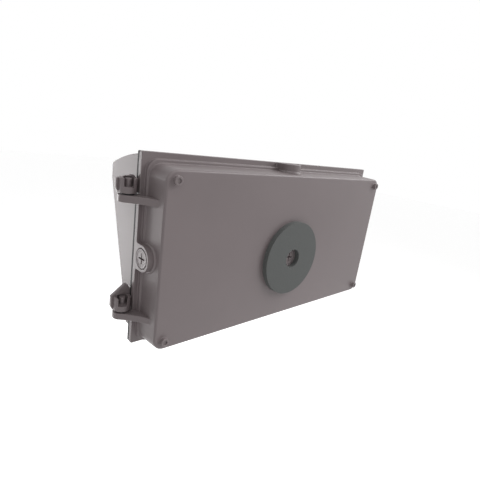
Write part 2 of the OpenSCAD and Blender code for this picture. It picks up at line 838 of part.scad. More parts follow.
// Output leads: driver to the upper board, through the grommet in the tray
module output_leads() color([0.7, 0.12, 0.1])
    for (side = [-1, 1]) {
        z = driver_z + side * lead_step;
        x = grommet_x - side * lead_step * 0.8;
        top_z = board_pitch / 2 + side * lead_step;
        lead([
            inside(driver_start_x, lead_depth, z),
            inside(x, lead_depth, z),
            inside(x, tray_depth - grommet_flange_t, z),
            inside(x, front_lead_depth, z),
            inside(x, front_lead_depth, z + grommet_bore_r),
            inside(x, front_lead_depth, top_z - grommet_bore_r),
            inside(x, front_lead_depth, top_z),
            inside(-board_l / 2 - connector_h / 2, front_lead_depth, top_z),
            inside(-board_l / 2 - over, board_front + connector_t / 2, top_z),
            inside(connector_x - connector_w / 2, board_front + connector_t / 2, top_z)
        ]);
    }

// Pieces of sheet or rubber on the tray
module tray_outline() plate_outline(tray_w, tray_h / 2, -tray_h / 2, tray_corner_r);

module led_tray() color([0.86, 0.87, 0.88]) difference() {
    union() {
        slab(tray_depth, tray_t) tray_outline();
        for (z = [-1, 1])
            block(0, z * (tray_h - tray_t) / 2, tray_w - 2 * tray_corner_r, tray_t,
                tray_depth - tray_fold_h, tray_fold_h + tray_t / 2);
    }
    for (x = [-tray_post_x, tray_post_x], z = [-tray_post_z, tray_post_z])
        post(x, z, tray_depth - over, tray_t + 2 * over, screw_hole_r);
    for (x = [-1, 1], z = [-1, 1])
        post(x * reflector_post_x, z * reflector_post_z_share * tray_h,
            tray_depth - over, tray_t + 2 * over, screw_hole_r);
    for (share = board_screw_shares, z = [-board_pitch / 2, board_pitch / 2])
        post(share * board_l, z, tray_depth - over, tray_t + 2 * over, screw_hole_r);
    post(grommet_x, driver_z, tray_depth - over, tray_t + 2 * over, grommet_r);
}

module tray_grommet() color(dark_rubber) difference() {
    union() {
        post(grommet_x, driver_z, tray_depth - grommet_flange_t, tray_t + 2 * grommet_flange_t,
            grommet_r - pin_play);
        post(grommet_x, driver_z, tray_depth - grommet_flange_t, grommet_flange_t,
            grommet_flange_r);
        post(grommet_x, driver_z, tray_front, grommet_flange_t, grommet_flange_r);
    }
    post(grommet_x, driver_z, tray_depth - grommet_flange_t - over,
        tray_t + 2 * (grommet_flange_t + over), grommet_bore_r);
}

module tray_screws() color(steel_grey)
    for (x = [-tray_post_x, tray_post_x], z = [-tray_post_z, tray_post_z])
        screw_at(x, z, tray_front, screw_tail);

module led_boards() color([0.93, 0.93, 0.91])
    for (z = [-board_pitch / 2, board_pitch / 2]) difference() {
        block(0, z, board_l, board_h, tray_front, board_t);
        for (share = board_screw_shares)
            post(share * board_l, z, tray_front - over, board_t + 2 * over, screw_hole_r);
    }

module led_chips() color([0.95, 0.85, 0.35])
    for (board = [-1, 1], row = [-1, 1], i = [0:chips_along - 1])
        block((i - (chips_along - 1) / 2) * board_l / chips_along,
            board * board_pitch / 2 + row * chip_row_gap / 2,
            chip_w, chip_w, board_front, chip_t);

module board_connectors() color([0.9, 0.9, 0.88])
    for (z = [-board_pitch / 2, board_pitch / 2])
        block(connector_x, z, connector_w, connector_h, board_front, connector_t);

// Jumper leads between the two boards
module jumper_leads() color([0.7, 0.12, 0.1])
    for (side = [-1, 1]) {
        x = connector_x + side * connector_w / 4;
        end_z = (board_pitch - connector_h) / 2;
        lead([
            inside(x, board_front + connector_t / 2, end_z),
            inside(x, board_front + connector_t / 2, end_z / 2),
            inside(x, board_front + connector_t / 2, -end_z / 2),
            inside(x, board_front + connector_t / 2, -end_z)
        ]);
    }

module board_screws() color(steel_grey)
    for (share = board_screw_shares, z = [-board_pitch / 2, board_pitch / 2])
        screw_at(share * board_l, z, board_front, tray_t + board_t);

// White reflector: a flat surround with a lip that seats on the tray round the boards
module reflector() color([0.95, 0.95, 0.94]) {
    open_w = board_l + 2 * reflector_open_gap;
    open_h = board_pitch + board_h + 2 * reflector_open_gap;
    front = reflector_depth + reflector_t;
    difference() {
        union() {
            slab(reflector_depth, reflector_t) plate_outline(
                cavity_w - 2 * reflector_gap, cavity_h / 2 - reflector_gap,
                -cavity_h / 2 + reflector_gap, reflector_corner_r
            );
            slab(tray_front, front - tray_front) plate_outline(
                open_w + 2 * reflector_t, open_h / 2 + reflector_t,
                -open_h / 2 - reflector_t, reflector_corner_r
            );
            for (x = [-1, 1], z = [-1, 1])
                post(x * reflector_post_x, z * reflector_post_z_share * tray_h,
                    tray_front, front - tray_front, reflector_post_r);
        }
        slab(tray_front - over, front - tray_front + 2 * over) plate_outline(
            open_w, open_h / 2, -open_h / 2, reflector_corner_r - reflector_t
        );
        for (x = [-1, 1], z = [-1, 1])
            post(x * reflector_post_x, z * reflector_post_z_share * tray_h,
                tray_front - over, front - tray_front + 2 * over, screw_hole_r);
        for (x = [-tray_post_x, tray_post_x], z = [-tray_post_z, tray_post_z])
            post(x, z, reflector_depth - over, reflector_t + 2 * over, reflector_access_r);
        block(-open_w / 2, board_pitch / 2, 4 * reflector_t, notch_w,
            tray_front - over, reflector_depth - tray_front + over);
    }
}

module reflector_screws() color(steel_grey)
    for (x = [-1, 1], z = [-1, 1])
        screw_at(x * reflector_post_x, z * reflector_post_z_share * tray_h,
            reflector_depth + reflector_t, reflector_depth - tray_depth + tray_t);

// Side outline of the door, moved inwards by a wall thickness, as [y, z] points: the curved
// top, the brow, the slanted front, its foot and the rim
function arc(centre, r, from, to, steps) =
    [for (i = [0:steps]) let (a = from + (to - from) * i / steps)
        centre + r * [sin(a), cos(a)]];
function edge_centre(at, r, from, to) =
    let (a = [sin(from), cos(from)], b = [sin(to), cos(to)])
    at - r * (a + b) / (1 + a * b);
function door_side(wall, rear, bottom) =
    let (
        outline = concat(
            [[rear, door_top - wall]],
            arc(top_centre, top_r - wall, top_start_angle, top_end_angle, 6),
            arc(nose_centre, nose_r - wall, top_end_angle, 90, 4),
            arc(edge_centre(brow, bend_r, 90, slope_angle), bend_r - wall, 90, slope_angle, 4),
            arc(edge_centre(foot, foot_r, slope_angle, 180), foot_r - wall, slope_angle, 180, 4),
            [[rim_front - wall, foot[1] + wall], [rim_front - wall, bottom], [rear, bottom]]
        )
    )
    [for (p = outline) [rear_y - p[0], p[1]]];

// Solid of the door's side outline, across a width
module door_wedge(w, wall, rear, bottom) {
    translate([-w / 2, 0, 0]) rotate([90, 0, 90]) linear_extrude(w)
        polygon(door_side(wall, rear, bottom));
}

// Places something on the slanted front: y runs up the slope from its foot, z points out
module on_slope() {
    translate([0, rear_y - foot[0], foot[1]]) rotate([slope_angle, 0, 0]) children();
}
module on_slope_outline(low, t, w, h, r) {
    on_slope() translate([0, window_mid, low]) linear_extrude(t)
        plate_outline(w, h / 2, -h / 2, r);
}

// Plate and knuckle of one hinge, on the door side
module door_hinge(bottom, peak) {
    root_x = door_w / 2 - door_wall / 2;
    tip_x = hinge_x + plate_reach;
    peak_x = hinge_x - plate_peak_in;
    top = bottom + knuckle_h;
    difference() {
        union() {
            slab(rim_rear, plate_t) polygon([
                [root_x, bottom], [tip_x - plate_low_cut / 2, bottom],
                [tip_x, bottom + plate_low_cut], [tip_x, top - plate_top_cut],
                [peak_x, top + peak],
                [peak_x - plate_top_w, top + peak - plate_top_fall * peak / lower_peak],
                [root_x, top + peak - plate_top_fall]
            ]);
            translate([hinge_x, hinge_y, bottom]) cylinder(h = knuckle_h, r = knuckle_r);
            translate([hinge_x - knuckle_r, hinge_y - knuckle_foot, bottom])
                cube([2 * knuckle_r, knuckle_foot, knuckle_h]);
        }
        translate([hinge_x, hinge_y, bottom - over])
            cylinder(h = knuckle_h + 2 * over, r = pin_r + pin_play);
        translate([hinge_x - knuckle_slot_w / 2, hinge_y - pin_r - slot_room,
            bottom + knuckle_ring_h])
            cube([knuckle_slot_w, pin_r + slot_room + knuckle_r + over,
                knuckle_h - knuckle_ring_h + over]);
    }
}

// Lug on the door that holds a captive latch screw
module door_lug(z) {
    difference() {
        union() {
            post(latch_x, z, rim_rear, door_lug_l, lug_r);
            block((latch_x - door_w / 2 + door_wall / 2) / 2, z,
                -latch_x - door_w / 2 + door_wall / 2, lug_web, rim_rear, door_web_t);
        }
        post(latch_x, z, rim_rear - over, door_lug_l + 2 * over, neck_r + neck_gap);
        post(latch_x, z, rim_rear - over, door_lug_l - neck_seat + over, thread_r + thread_gap);
    }
}

// Places for the clips along the top and the foot of the lens; the child points up the slope
module at_clips() {
    for (share = clip_x_shares, side = [-1, 1])
        on_slope() translate([share * window_w,
            window_mid + side * (window_h / 2 + lens_lap + clip_out), 0])
            rotate(side > 0 ? 0 : 180) children();
}

module door_shell() color(bronze) difference() {
    union() {
        difference() {
            intersection() {
                door_wedge(door_w, 0, rim_rear, door_bottom);
                slab(rim_rear - over, nose_centre[0] + nose_r + over)
                    plate_outline(door_w, door_top, door_bottom, door_corner_r);
            }
            door_wedge(door_w - 2 * door_wall, door_wall, rim_rear - over,
                door_bottom + door_wall);
        }
        difference() {
            slab(rim_rear, lip_t)
                plate_outline(door_w, door_top, door_bottom, door_corner_r);
            slab(rim_rear - over, lip_t + 2 * over) plate_outline(
                cavity_w - 2 * lip_in, cavity_h / 2 - lip_in,
                -cavity_h / 2 + lip_in, cavity_r
            );
        }
        at_clips() translate([0, 0, -lens_back])
            cylinder(h = lens_back - door_wall / 2, r = clip_boss_r);
        door_hinge(upper_knuckle_z, upper_peak);
        door_hinge(lower_knuckle_z, lower_peak);
        door_lug(upper_latch_z);
        door_lug(lower_latch_z);
    }
    on_slope_outline(-door_wall - over, door_wall + 2 * over, window_w, window_h,
        window_corner_r);
    at_clips() translate([0, 0, -lens_back - over])
        cylinder(h = lens_back - door_wall + over, r = screw_hole_r);
}

module door_gasket() color(dark_rubber) difference() {
    slab(flange_front + gasket_gap, seam - gasket_gap) plate_outline(
        flange_w - 2 * gasket_side, flange_top - gasket_side,
        flange_bottom + gasket_side, flange_corner_r - gasket_side
    );
    slab(flange_front, seam + over) plate_outline(
        cavity_w + 2 * gasket_in, cavity_h / 2 + gasket_in,
        -cavity_h / 2 - gasket_in, cavity_r + gasket_in
    );
}

module lens() color([0.85, 0.88, 0.9, 0.5])
    on_slope_outline(-lens_back, lens_t, window_w + 2 * (lens_lap - lens_play),
        window_h + 2 * (lens_lap - lens_play), window_corner_r);

module lens_gasket() color(dark_rubber) difference() {
    on_slope_outline(-door_wall - lens_gasket_t, lens_gasket_t,
        window_w + 2 * (lens_lap - lens_play), window_h + 2 * (lens_lap - lens_play),
        window_corner_r);
    on_slope_outline(-door_wall - lens_gasket_t - over, lens_gasket_t + 2 * over,
        window_w + 2 * lens_window_gap, window_h + 2 * lens_window_gap, window_corner_r);
}

module lens_clips() color(steel_grey)
    at_clips() difference() {
        translate([-clip_w / 2, clip_boss_r - clip_l, -lens_back - clip_t])
            cube([clip_w, clip_l, clip_t]);
        translate([0, 0, -lens_back - clip_t - over])
            cylinder(h = clip_t + 2 * over, r = screw_hole_r);
    }

module lens_clip_screws() color(steel_grey)
    at_clips() translate([0, 0, -lens_back - clip_t]) rotate([180, 0, 0])
        pan_screw(clip_screw_l);

// Captive latch screw: head, neck and threaded end, driven towards the wall
module latch_screw(z) {
    head_depth = rim_rear + door_lug_l + latch_washer_t;
    shoulder_depth = flange_front - screw_start;
    difference() {
        union() {
            post(latch_x, z, head_depth, latch_head_h, latch_head_r);
            post(latch_x, z, shoulder_depth - over, head_depth - shoulder_depth + 2 * over, neck_r);
            post(latch_x, z, shoulder_depth - thread_l + screw_tip, thread_l - screw_tip, thread_r);
            translate([latch_x, 0, z]) at_depth(shoulder_depth - thread_l) rotate([90, 0, 0])
                cylinder(h = screw_tip, r1 = thread_r - screw_tip, r2 = thread_r);
        }
        translate([latch_x, 0, z]) at_depth(head_depth + latch_head_h) rotate([90, 0, 0])
            cross_slot(latch_head_r - latch_slot_w, latch_slot_w, latch_slot_deep);
    }
}

// Sealing washer under the head of a latch screw
module latch_washer(z) difference() {
    post(latch_x, z, rim_rear + door_lug_l, latch_washer_t, latch_washer_r);
    post(latch_x, z, rim_rear + door_lug_l - over, latch_washer_t + 2 * over, neck_r + pin_play);
}

module upper_latch_screw() color(steel_grey) latch_screw(upper_latch_z);
module upper_latch_washer() color(dark_rubber) latch_washer(upper_latch_z);
module lower_latch_screw() color(steel_grey) latch_screw(lower_latch_z);
module lower_latch_washer() color(dark_rubber) latch_washer(lower_latch_z);

back_box();
wall_gasket();
rear_conduit_plug();
top_conduit_plug();
side_conduit_plugs();
hinge_pins();
hinge_washers();
driver_case();
driver_lid();
driver_potting();
driver_bushings();
surge_protector();
terminal_block();
terminal_screws();
gear_screws();
ground_screw();
supply_leads();
output_leads();
ground_lead();
led_tray();
tray_grommet();
tray_screws();
led_boards();
led_chips();
board_connectors();
jumper_leads();
board_screws();
reflector();
reflector_screws();
door_shell();
door_gasket();
lens();
lens_gasket();
lens_clips();
lens_clip_screws();
upper_latch_screw();
upper_latch_washer();
lower_latch_screw();
lower_latch_washer();
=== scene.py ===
"""Looks of the wall pack light.

Lengths are written in millimetres and made into metres by the placers. Depths run
forwards from the rear face of the back box, as in the part's own source.
"""

import math

import bmesh
import bpy
from mathutils import Matrix, Vector


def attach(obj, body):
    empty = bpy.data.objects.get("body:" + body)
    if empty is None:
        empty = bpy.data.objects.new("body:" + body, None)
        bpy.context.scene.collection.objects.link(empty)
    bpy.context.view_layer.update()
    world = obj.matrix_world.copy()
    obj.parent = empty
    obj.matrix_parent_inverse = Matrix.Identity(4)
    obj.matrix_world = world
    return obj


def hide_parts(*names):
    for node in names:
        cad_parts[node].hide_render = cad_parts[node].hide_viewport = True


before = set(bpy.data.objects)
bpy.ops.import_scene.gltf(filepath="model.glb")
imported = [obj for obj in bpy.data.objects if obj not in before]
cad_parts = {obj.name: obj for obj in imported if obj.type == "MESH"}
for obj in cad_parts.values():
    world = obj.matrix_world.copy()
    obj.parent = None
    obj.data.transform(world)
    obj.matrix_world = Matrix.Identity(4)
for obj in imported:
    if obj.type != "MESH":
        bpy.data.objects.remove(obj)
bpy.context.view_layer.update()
MM = 0.001
# Depth 0, the rear face of the back box, as y in the frame
REAR_Y = -4.5
# How far a cutter passes a face, and how far a joined part sinks into one
OVER = 1.0
SINK = 0.05


# Camera at the photograph's viewing angle, fitted to its edges and circles
camera_data = bpy.data.cameras.new("camera")
camera_data.lens = 28.02
camera_data.sensor_width = 36
camera = bpy.data.objects.new("camera", camera_data)
bpy.context.collection.objects.link(camera)
bpy.context.scene.camera = camera
camera_back = Vector((0.6710, 0.6946, 0.2596)).normalized()
camera_up = camera_back.cross(Vector((-0.7370, 0.6633, 0.1302))).normalized()
camera_right = camera_up.cross(camera_back)
camera_at = Vector((0.3912, 0.3003, 0.1331))
camera.matrix_world = Matrix((
    (camera_right.x, camera_up.x, camera_back.x, camera_at.x),
    (camera_right.y, camera_up.y, camera_back.y, camera_at.y),
    (camera_right.z, camera_up.z, camera_back.z, camera_at.z),
    (0, 0, 0, 1),
))


# Outlines, as lists of points in millimetres

def arc(middle_x, middle_z, r, start, end, steps):
    """Points along an arc, with its angles in degrees."""
    turns = [math.radians(start + (end - start) * i / steps) for i in range(steps + 1)]
    return [(middle_x + r * math.cos(a), middle_z + r * math.sin(a)) for a in turns]


def circle(r, middle_x=0.0, middle_z=0.0, count=48):
    return arc(middle_x, middle_z, r, 0, 360 - 360 / count, count - 1)


def round_rectangle(w, top, bottom, r, steps=7):
    """Rectangle with round corners, anticlockwise."""
    points = []
    for side, level, start in ((1, 1, 0), (-1, 1, 90), (-1, -1, 180), (1, -1, 270)):
        middle_z = top - r if level > 0 else bottom + r
        points += arc(side * (w / 2 - r), middle_z, r, start, start + 90, steps)
    return points


def box_outline(x0, x1, z0, z1):
    return [(x1, z1), (x0, z1), (x0, z0), (x1, z0)]


def inset(points, amount):
    """Outline moved inwards by an amount, corner by corner."""
    area = sum(a[0] * b[1] - b[0] * a[1] for a, b in zip(points, points[1:] + points[:1]))
    turn = 1 if area > 0 else -1
    moved = []
    for before, here, after in zip(points[-1:] + points[:-1], points, points[1:] + points[:1]):
        sides = []
        for a, b in ((before, here), (here, after)):
            length = math.hypot(b[0] - a[0], b[1] - a[1])
            sides.append((-turn * (b[1] - a[1]) / length, turn * (b[0] - a[0]) / length))
        nx = sides[0][0] + sides[1][0]
        nz = sides[0][1] + sides[1][1]
        share = amount / (1 + sides[0][0] * sides[1][0] + sides[0][1] * sides[1][1])
        moved.append((here[0] + nx * share, here[1] + nz * share))
    return moved


def quarter_turn(steps=4):
    """Angles from 0 to 90 degrees, in radians."""
    return [math.radians(90 * i / steps) for i in range(steps + 1)]


def fillet(r, steps=4):
    """Pairs of (inset, advance) round an outer edge, from the flat face to the side."""
    return [(r * (1 - math.sin(a)), r * (1 - math.cos(a))) for a in quarter_turn(steps)]


def cove(r):
    """Pairs of (growth, advance) round an inner edge, from the side to the flat face."""
    return [(r * (1 - math.cos(a)), r * math.sin(a)) for a in quarter_turn()]


# Placers turn outline points and a height, in millimetres, into points in the frame

def placer(at, right, up, out):
    at, right, up, out = (Vector(v) for v in (at, right, up, out))
    return lambda a, b, c: (at + right * a + up * b + out * c) * MM


wall = placer((0, REAR_Y, 0), (1, 0, 0), (0, 0, 1), (0, -1, 0))


def at_wall(x, z):
    """Placer round a point of the wall, with its height as the depth."""
    return placer((x, REAR_Y, z), (1, 0, 0), (0, 0, 1), (0, -1, 0))


def upright(x, depth):
    """Placer round a vertical line, with its height as z."""
    return placer((x, REAR_Y - depth, 0), (1, 0, 0), (0, 1, 0), (0, 0, 1))


# Solids

def mesh_piece(name, build):
    mesh = bmesh.new()
    build(mesh)
    bmesh.ops.recalc_face_normals(mesh, faces=mesh.faces)
    data = bpy.data.meshes.new(name)
    mesh.to_mesh(data)
    mesh.free()
    piece = bpy.data.objects.new(name, data)
    bpy.context.collection.objects.link(piece)
    return piece


def loft(name, rings, looped=False):
    """Solid through rings of equally many points, capped at both ends or looped on itself."""
    def build(mesh):
        rows = [[mesh.verts.new(p) for p in ring] for ring in rings]
        count = len(rows[0])
        pairs = list(zip(rows, rows[1:]))
        if looped:
            pairs.append((rows[-1], rows[0]))
        for near, far in pairs:
            for i in range(count):
                j = (i + 1) % count
                mesh.faces.new((near[i], near[j], far[j], far[i]))
        if not looped:
            mesh.faces.new(rows[0][::-1])
            mesh.faces.new(rows[-1])
    return mesh_piece(name, build)


def prism(name, outline, put, low, high, edge=0.0, low_edge=None, inset_by=inset):
    """Solid between two heights over an outline, with its edges rounded."""
    low_edge = edge if low_edge is None else low_edge
    heights = [(i, low + a) for i, a in (fillet(low_edge) if low_edge else [(0, 0)])]
    heights += [(i, high - a) for i, a in reversed(fillet(edge) if edge else [(0, 0)])]
    return loft(name, [[put(x, z, c) for x, z in inset_by(outline, i)] for i, c in heights])


def turned(name, put, profile, looped=False, count=48):
    """Solid turned round a placer's own axis through pairs of (radius, height)."""
    rings = [[put(x, z, c) for x, z in circle(r, count=count)] for r, c in profile]
    return loft(name, rings, looped)


def apply_modifiers(piece):
    graph = bpy.context.evaluated_depsgraph_get()
    data = bpy.data.meshes.new_from_object(piece.evaluated_get(graph))
    piece.modifiers.clear()
    piece.data = data


def carve(piece, tools, operation="DIFFERENCE"):
    """Cuts the tools out of a piece, or joins them to it with UNION, and deletes them."""
    for tool in tools:
        step = piece.modifiers.new("step", "BOOLEAN")
        step.solver = "MANIFOLD"
        step.operation = operation
        step.object = tool
    apply_modifiers(piece)
    for tool in tools:
        bpy.data.objects.remove(tool)
    return piece


def gather(name, pieces):
    """One piece from several that don't touch."""
    mesh = bmesh.new()
    for piece in pieces:
        mesh.from_mesh(piece.data)
        bpy.data.objects.remove(piece)
    data = bpy.data.meshes.new(name)
    mesh.to_mesh(data)
    mesh.free()
    whole = bpy.data.objects.new(name, data)
    bpy.context.collection.objects.link(whole)
    return whole


def finish_piece(piece, body, material, *nodes, angle=32):
    """Smooths a piece, keeps its sharp edges, gives it a material and a body, and hides the carried
    nodes that it takes the place of.
    """
    piece.data.shade_smooth()
    piece.data.set_sharp_from_angle(angle=math.radians(angle))
    weighting = piece.modifiers.new("weighting", "WEIGHTED_NORMAL")
    weighting.keep_sharp = True
    weighting.weight = 100
    apply_modifiers(piece)
    piece.data.materials.clear()
    piece.data.materials.append(material)
    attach(piece, body)
    if nodes:
        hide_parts(*nodes)
    return piece


# Shader groups

def new_group(name, inputs, outputs):
    """Empty node group with named number inputs and named outputs."""
    group = bpy.data.node_groups.new(name, "ShaderNodeTree")
    for label, value in inputs:
        socket = group.interface.new_socket(
            label, in_out="INPUT", socket_type="NodeSocketFloat")
        socket.default_value = value
    for label, kind in outputs:
        group.interface.new_socket(label, in_out="OUTPUT", socket_type=kind)
    return group, group.nodes.new("NodeGroupInput"), group.nodes.new("NodeGroupOutput")


def noise_node(tree, vector, scale, detail=2.0, roughness=0.5):
    """Noise over the object's own coordinates. Scale is a socket or a number, per metre."""
    node = tree.nodes.new("ShaderNodeTexNoise")
    node.inputs["Detail"].default_value = detail
    node.inputs["Roughness"].default_value = roughness
    tree.links.new(vector, node.inputs["Vector"])
    if isinstance(scale, (int, float)):
        node.inputs["Scale"].default_value = scale
    else:
        tree.links.new(scale, node.inputs["Scale"])
    return node.outputs["Fac"]


def remap(tree, value, low, high, to_low, to_high):
    node = tree.nodes.new("ShaderNodeMapRange")
    for label, number in (("From Min", low), ("From Max", high),
                          ("To Min", to_low), ("To Max", to_high)):
        node.inputs[label].default_value = number
    tree.links.new(value, node.inputs["Value"])
    return node.outputs["Result"]


def math_node(tree, operation, first, second):
    node = tree.nodes.new("ShaderNodeMath")
    node.operation = operation
    for socket, value in zip(node.inputs, (first, second)):
        if isinstance(value, (int, float)):
            socket.default_value = value
        else:
            tree.links.new(value, socket)
    return node.outputs[0]


def coat_grain_group():
    """Fine orange peel of a baked powder coat, and the slow drift of its tone."""
    group, given, out = new_group(
        "coat grain", [("Peel Scale", 900.0), ("Drift Scale", 9.0)],
        [("Height", "NodeSocketFloat"), ("Drift", "NodeSocketFloat")])
    place = group.nodes.new("ShaderNodeTexCoord").outputs["Object"]
    coarse = noise_node(group, place, given.outputs["Peel Scale"], 1.0)
    fine = noise_node(group, place, math_node(group, "MULTIPLY", given.outputs["Peel Scale"], 2.7))
    height = math_node(group, "ADD", coarse, math_node(group, "MULTIPLY", fine, 0.35))
    group.links.new(height, out.inputs["Height"])
    drift = noise_node(group, place, given.outputs["Drift Scale"], 3.0)
    group.links.new(remap(group, drift, 0.3, 0.7, -1.0, 1.0), out.inputs["Drift"])
    return group


def pores_group():
    """Cells of a closed foam or of a rubber skin."""
    group, given, out = new_group(
        "pores", [("Cell Scale", 1400.0)],
        [("Height", "NodeSocketFloat"), ("Mask", "NodeSocketFloat")])
    place = group.nodes.new("ShaderNodeTexCoord").outputs["Object"]
    cells = group.nodes.new("ShaderNodeTexVoronoi")
    group.links.new(place, cells.inputs["Vector"])
    group.links.new(given.outputs["Cell Scale"], cells.inputs["Scale"])
    mask = remap(group, cells.outputs["Distance"], 0.0, 0.5, 0.0, 1.0)
    group.links.new(mask, out.inputs["Mask"])
    group.links.new(mask, out.inputs["Height"])
    return group


def brushing_group():
    """Fine lines drawn along the wall, as rolling and brushing leave them on metal."""
    group, given, out = new_group(
        "brushing", [("Line Scale", 60.0), ("Stretch", 60.0)],
        [("Height", "NodeSocketFloat"), ("Mask", "NodeSocketFloat")])
    place = group.nodes.new("ShaderNodeTexCoord").outputs["Object"]
    parts = group.nodes.new("ShaderNodeSeparateXYZ")
    joined = group.nodes.new("ShaderNodeCombineXYZ")
    group.links.new(place, parts.inputs[0])
    group.links.new(parts.outputs["X"], joined.inputs["X"])
    for label in ("Y", "Z"):
        stretched = math_node(group, "MULTIPLY", parts.outputs[label], given.outputs["Stretch"])
        group.links.new(stretched, joined.inputs[label])
    lines = noise_node(group, joined.outputs[0], given.outputs["Line Scale"], 3.0, 0.6)
    group.links.new(lines, out.inputs["Height"])
    group.links.new(remap(group, lines, 0.3, 0.7, 0.0, 1.0), out.inputs["Mask"])
    return group


COAT_GRAIN = coat_grain_group()
PORES = pores_group()
BRUSHING = brushing_group()


# Materials

def srgb(r, g, b):
    """Linear colour from the 0 to 255 values that a screen shows."""
    def linear(value):
        share = value / 255
        return share / 12.92 if share <= 0.04045 else ((share + 0.055) / 1.055) ** 2.4
    return (linear(r), linear(g), linear(b), 1.0)


def plain_material(name, colour, roughness, **sockets):
    material = bpy.data.materials.new(name)
    material.use_nodes = True
    shader = material.node_tree.nodes["Principled BSDF"]
    shader.inputs["Base Color"].default_value = colour
    shader.inputs["Roughness"].default_value = roughness
    for label, value in sockets.items():
        shader.inputs[label.replace("_", " ")].default_value = value
    return material, material.node_tree, shader


def add_group(tree, group, **values):
    node = tree.nodes.new("ShaderNodeGroup")
    node.node_tree = group
    for label, value in values.items():
        node.inputs[label.replace("_", " ")].default_value = value
    return node


def add_bump(tree, shader, height, strength, distance):
    bump = tree.nodes.new("ShaderNodeBump")
    bump.inputs["Strength"].default_value = strength
    bump.inputs["Distance"].default_value = distance
    tree.links.new(height, bump.inputs["Height"])
    tree.links.new(bump.outputs["Normal"], shader.inputs["Normal"])


def tint(tree, shader, value, low_colour, high_colour):
    """Colour that runs between two colours with a value from 0 to 1."""
    mix = tree.nodes.new("ShaderNodeMix")
    mix.data_type = "RGBA"
    mix.inputs["A"].default_value = low_colour
    mix.inputs["B"].default_value = high_colour
    tree.links.new(value, mix.inputs["Factor"])
    tree.links.new(mix.outputs["Result"], shader.inputs["Base Color"])


def coated(name, colour, roughness, drift=0.04, peel=0.12, peel_scale=900.0, **sockets):
    """Baked powder coat or paint on metal, or the like skin of a moulding."""
    material, tree, shader = plain_material(name, colour, roughness, **sockets)
    grain = add_group(tree, COAT_GRAIN, Peel_Scale=peel_scale)
    share = remap(tree, grain.outputs["Drift"], -1.0, 1.0, 0.0, 1.0)
    low = tuple(c * (1 - drift) for c in colour[:3]) + (1.0,)
    high = tuple(min(c * (1 + drift), 1.0) for c in colour[:3]) + (1.0,)
    tint(tree, shader, share, low, high)
    rough = remap(tree, grain.outputs["Drift"], -1.0, 1.0, roughness - 0.03, roughness + 0.03)
    tree.links.new(rough, shader.inputs["Roughness"])
    add_bump(tree, shader, grain.outputs["Height"], peel, 0.0002)
    return material


def rubbery(name, colour, pore_colour, roughness, cell_scale, depth=0.3):
    material, tree, shader = plain_material(name, colour, roughness)
    pores = add_group(tree, PORES, Cell_Scale=cell_scale)
    tint(tree, shader, pores.outputs["Mask"], pore_colour, colour)
    add_bump(tree, shader, pores.outputs["Height"], depth, 0.0002)
    return material


def metal(name, colour, dull_colour, roughness, line_scale=60.0):
    material, tree, shader = plain_material(name, colour, roughness, Metallic=1.0)
    lines = add_group(tree, BRUSHING, Line_Scale=line_scale)
    tint(tree, shader, lines.outputs["Mask"], dull_colour, colour)
    rough = remap(tree, lines.outputs["Mask"], 0.0, 1.0, roughness - 0.06, roughness + 0.06)
    tree.links.new(rough, shader.inputs["Roughness"])
    add_bump(tree, shader, lines.outputs["Height"], 0.15, 0.0001)
    return material


def lens_material():
    material, tree, shader = plain_material(
        "lens_glass", (0.95, 0.97, 0.97, 1.0), 0.04, IOR=1.49, Transmission_Weight=1.0)
    grain = add_group(tree, COAT_GRAIN, Peel_Scale=120.0)
    add_bump(tree, shader, grain.outputs["Height"], 0.03, 0.0002)
    return material


BRONZE = coated("bronze_paint", srgb(122, 112, 113), 0.42)
FOAM = rubbery("foam", srgb(93, 95, 94), srgb(80, 82, 81), 0.85, 1400.0)
SILICONE = rubbery("silicone", srgb(36, 35, 35), srgb(29, 28, 28), 0.7, 2600.0, 0.15)
NYLON = coated("black_nylon", srgb(44, 44, 46), 0.5, 0.1, 0.25, 1600.0)
ALUMINIUM = metal("aluminium", srgb(203, 204, 206), srgb(188, 189, 191), 0.38)
STEEL = metal("steel", srgb(190, 190, 192), srgb(170, 170, 172), 0.3, 40.0)
POTTING = coated("potting", srgb(56, 56, 60), 0.35, 0.15, 0.1, 200.0)
IVORY = coated("ivory_plastic", srgb(219, 217, 207), 0.4, 0.02, 0.1, 1500.0)
GREEN_SCREW = coated("green_screw", srgb(62, 138, 84), 0.3, 0.08, 0.1, 700.0, Metallic=0.4)
BLACK_LEAD = coated("black_lead", srgb(38, 38, 38), 0.4, 0.1, 0.1, 1200.0)
RED_LEAD = coated("red_lead", srgb(178, 34, 28), 0.38, 0.06, 0.1, 1200.0)
GREEN_LEAD = coated("green_lead", srgb(46, 138, 74), 0.38, 0.06, 0.1, 1200.0)
WHITE_SHEET = coated("white_sheet", srgb(222, 223, 224), 0.4, 0.02)
BOARD_WHITE = coated("board_white", srgb(230, 230, 227), 0.28, 0.02, 0.05, 600.0)
PHOSPHOR = coated("chip_phosphor", srgb(232, 205, 92), 0.2, 0.06, 0.05, 2500.0)
REFLECTOR_WHITE = coated("reflector_white", srgb(233, 233, 231), 0.3, 0.01, 0.06)
LENS_GLASS = lens_material()


# Back box: one run of rings from the rear face out over the ridge and the flange, and
# back in to the floor of the cavity, with the bosses, entries, ears and lugs joined on

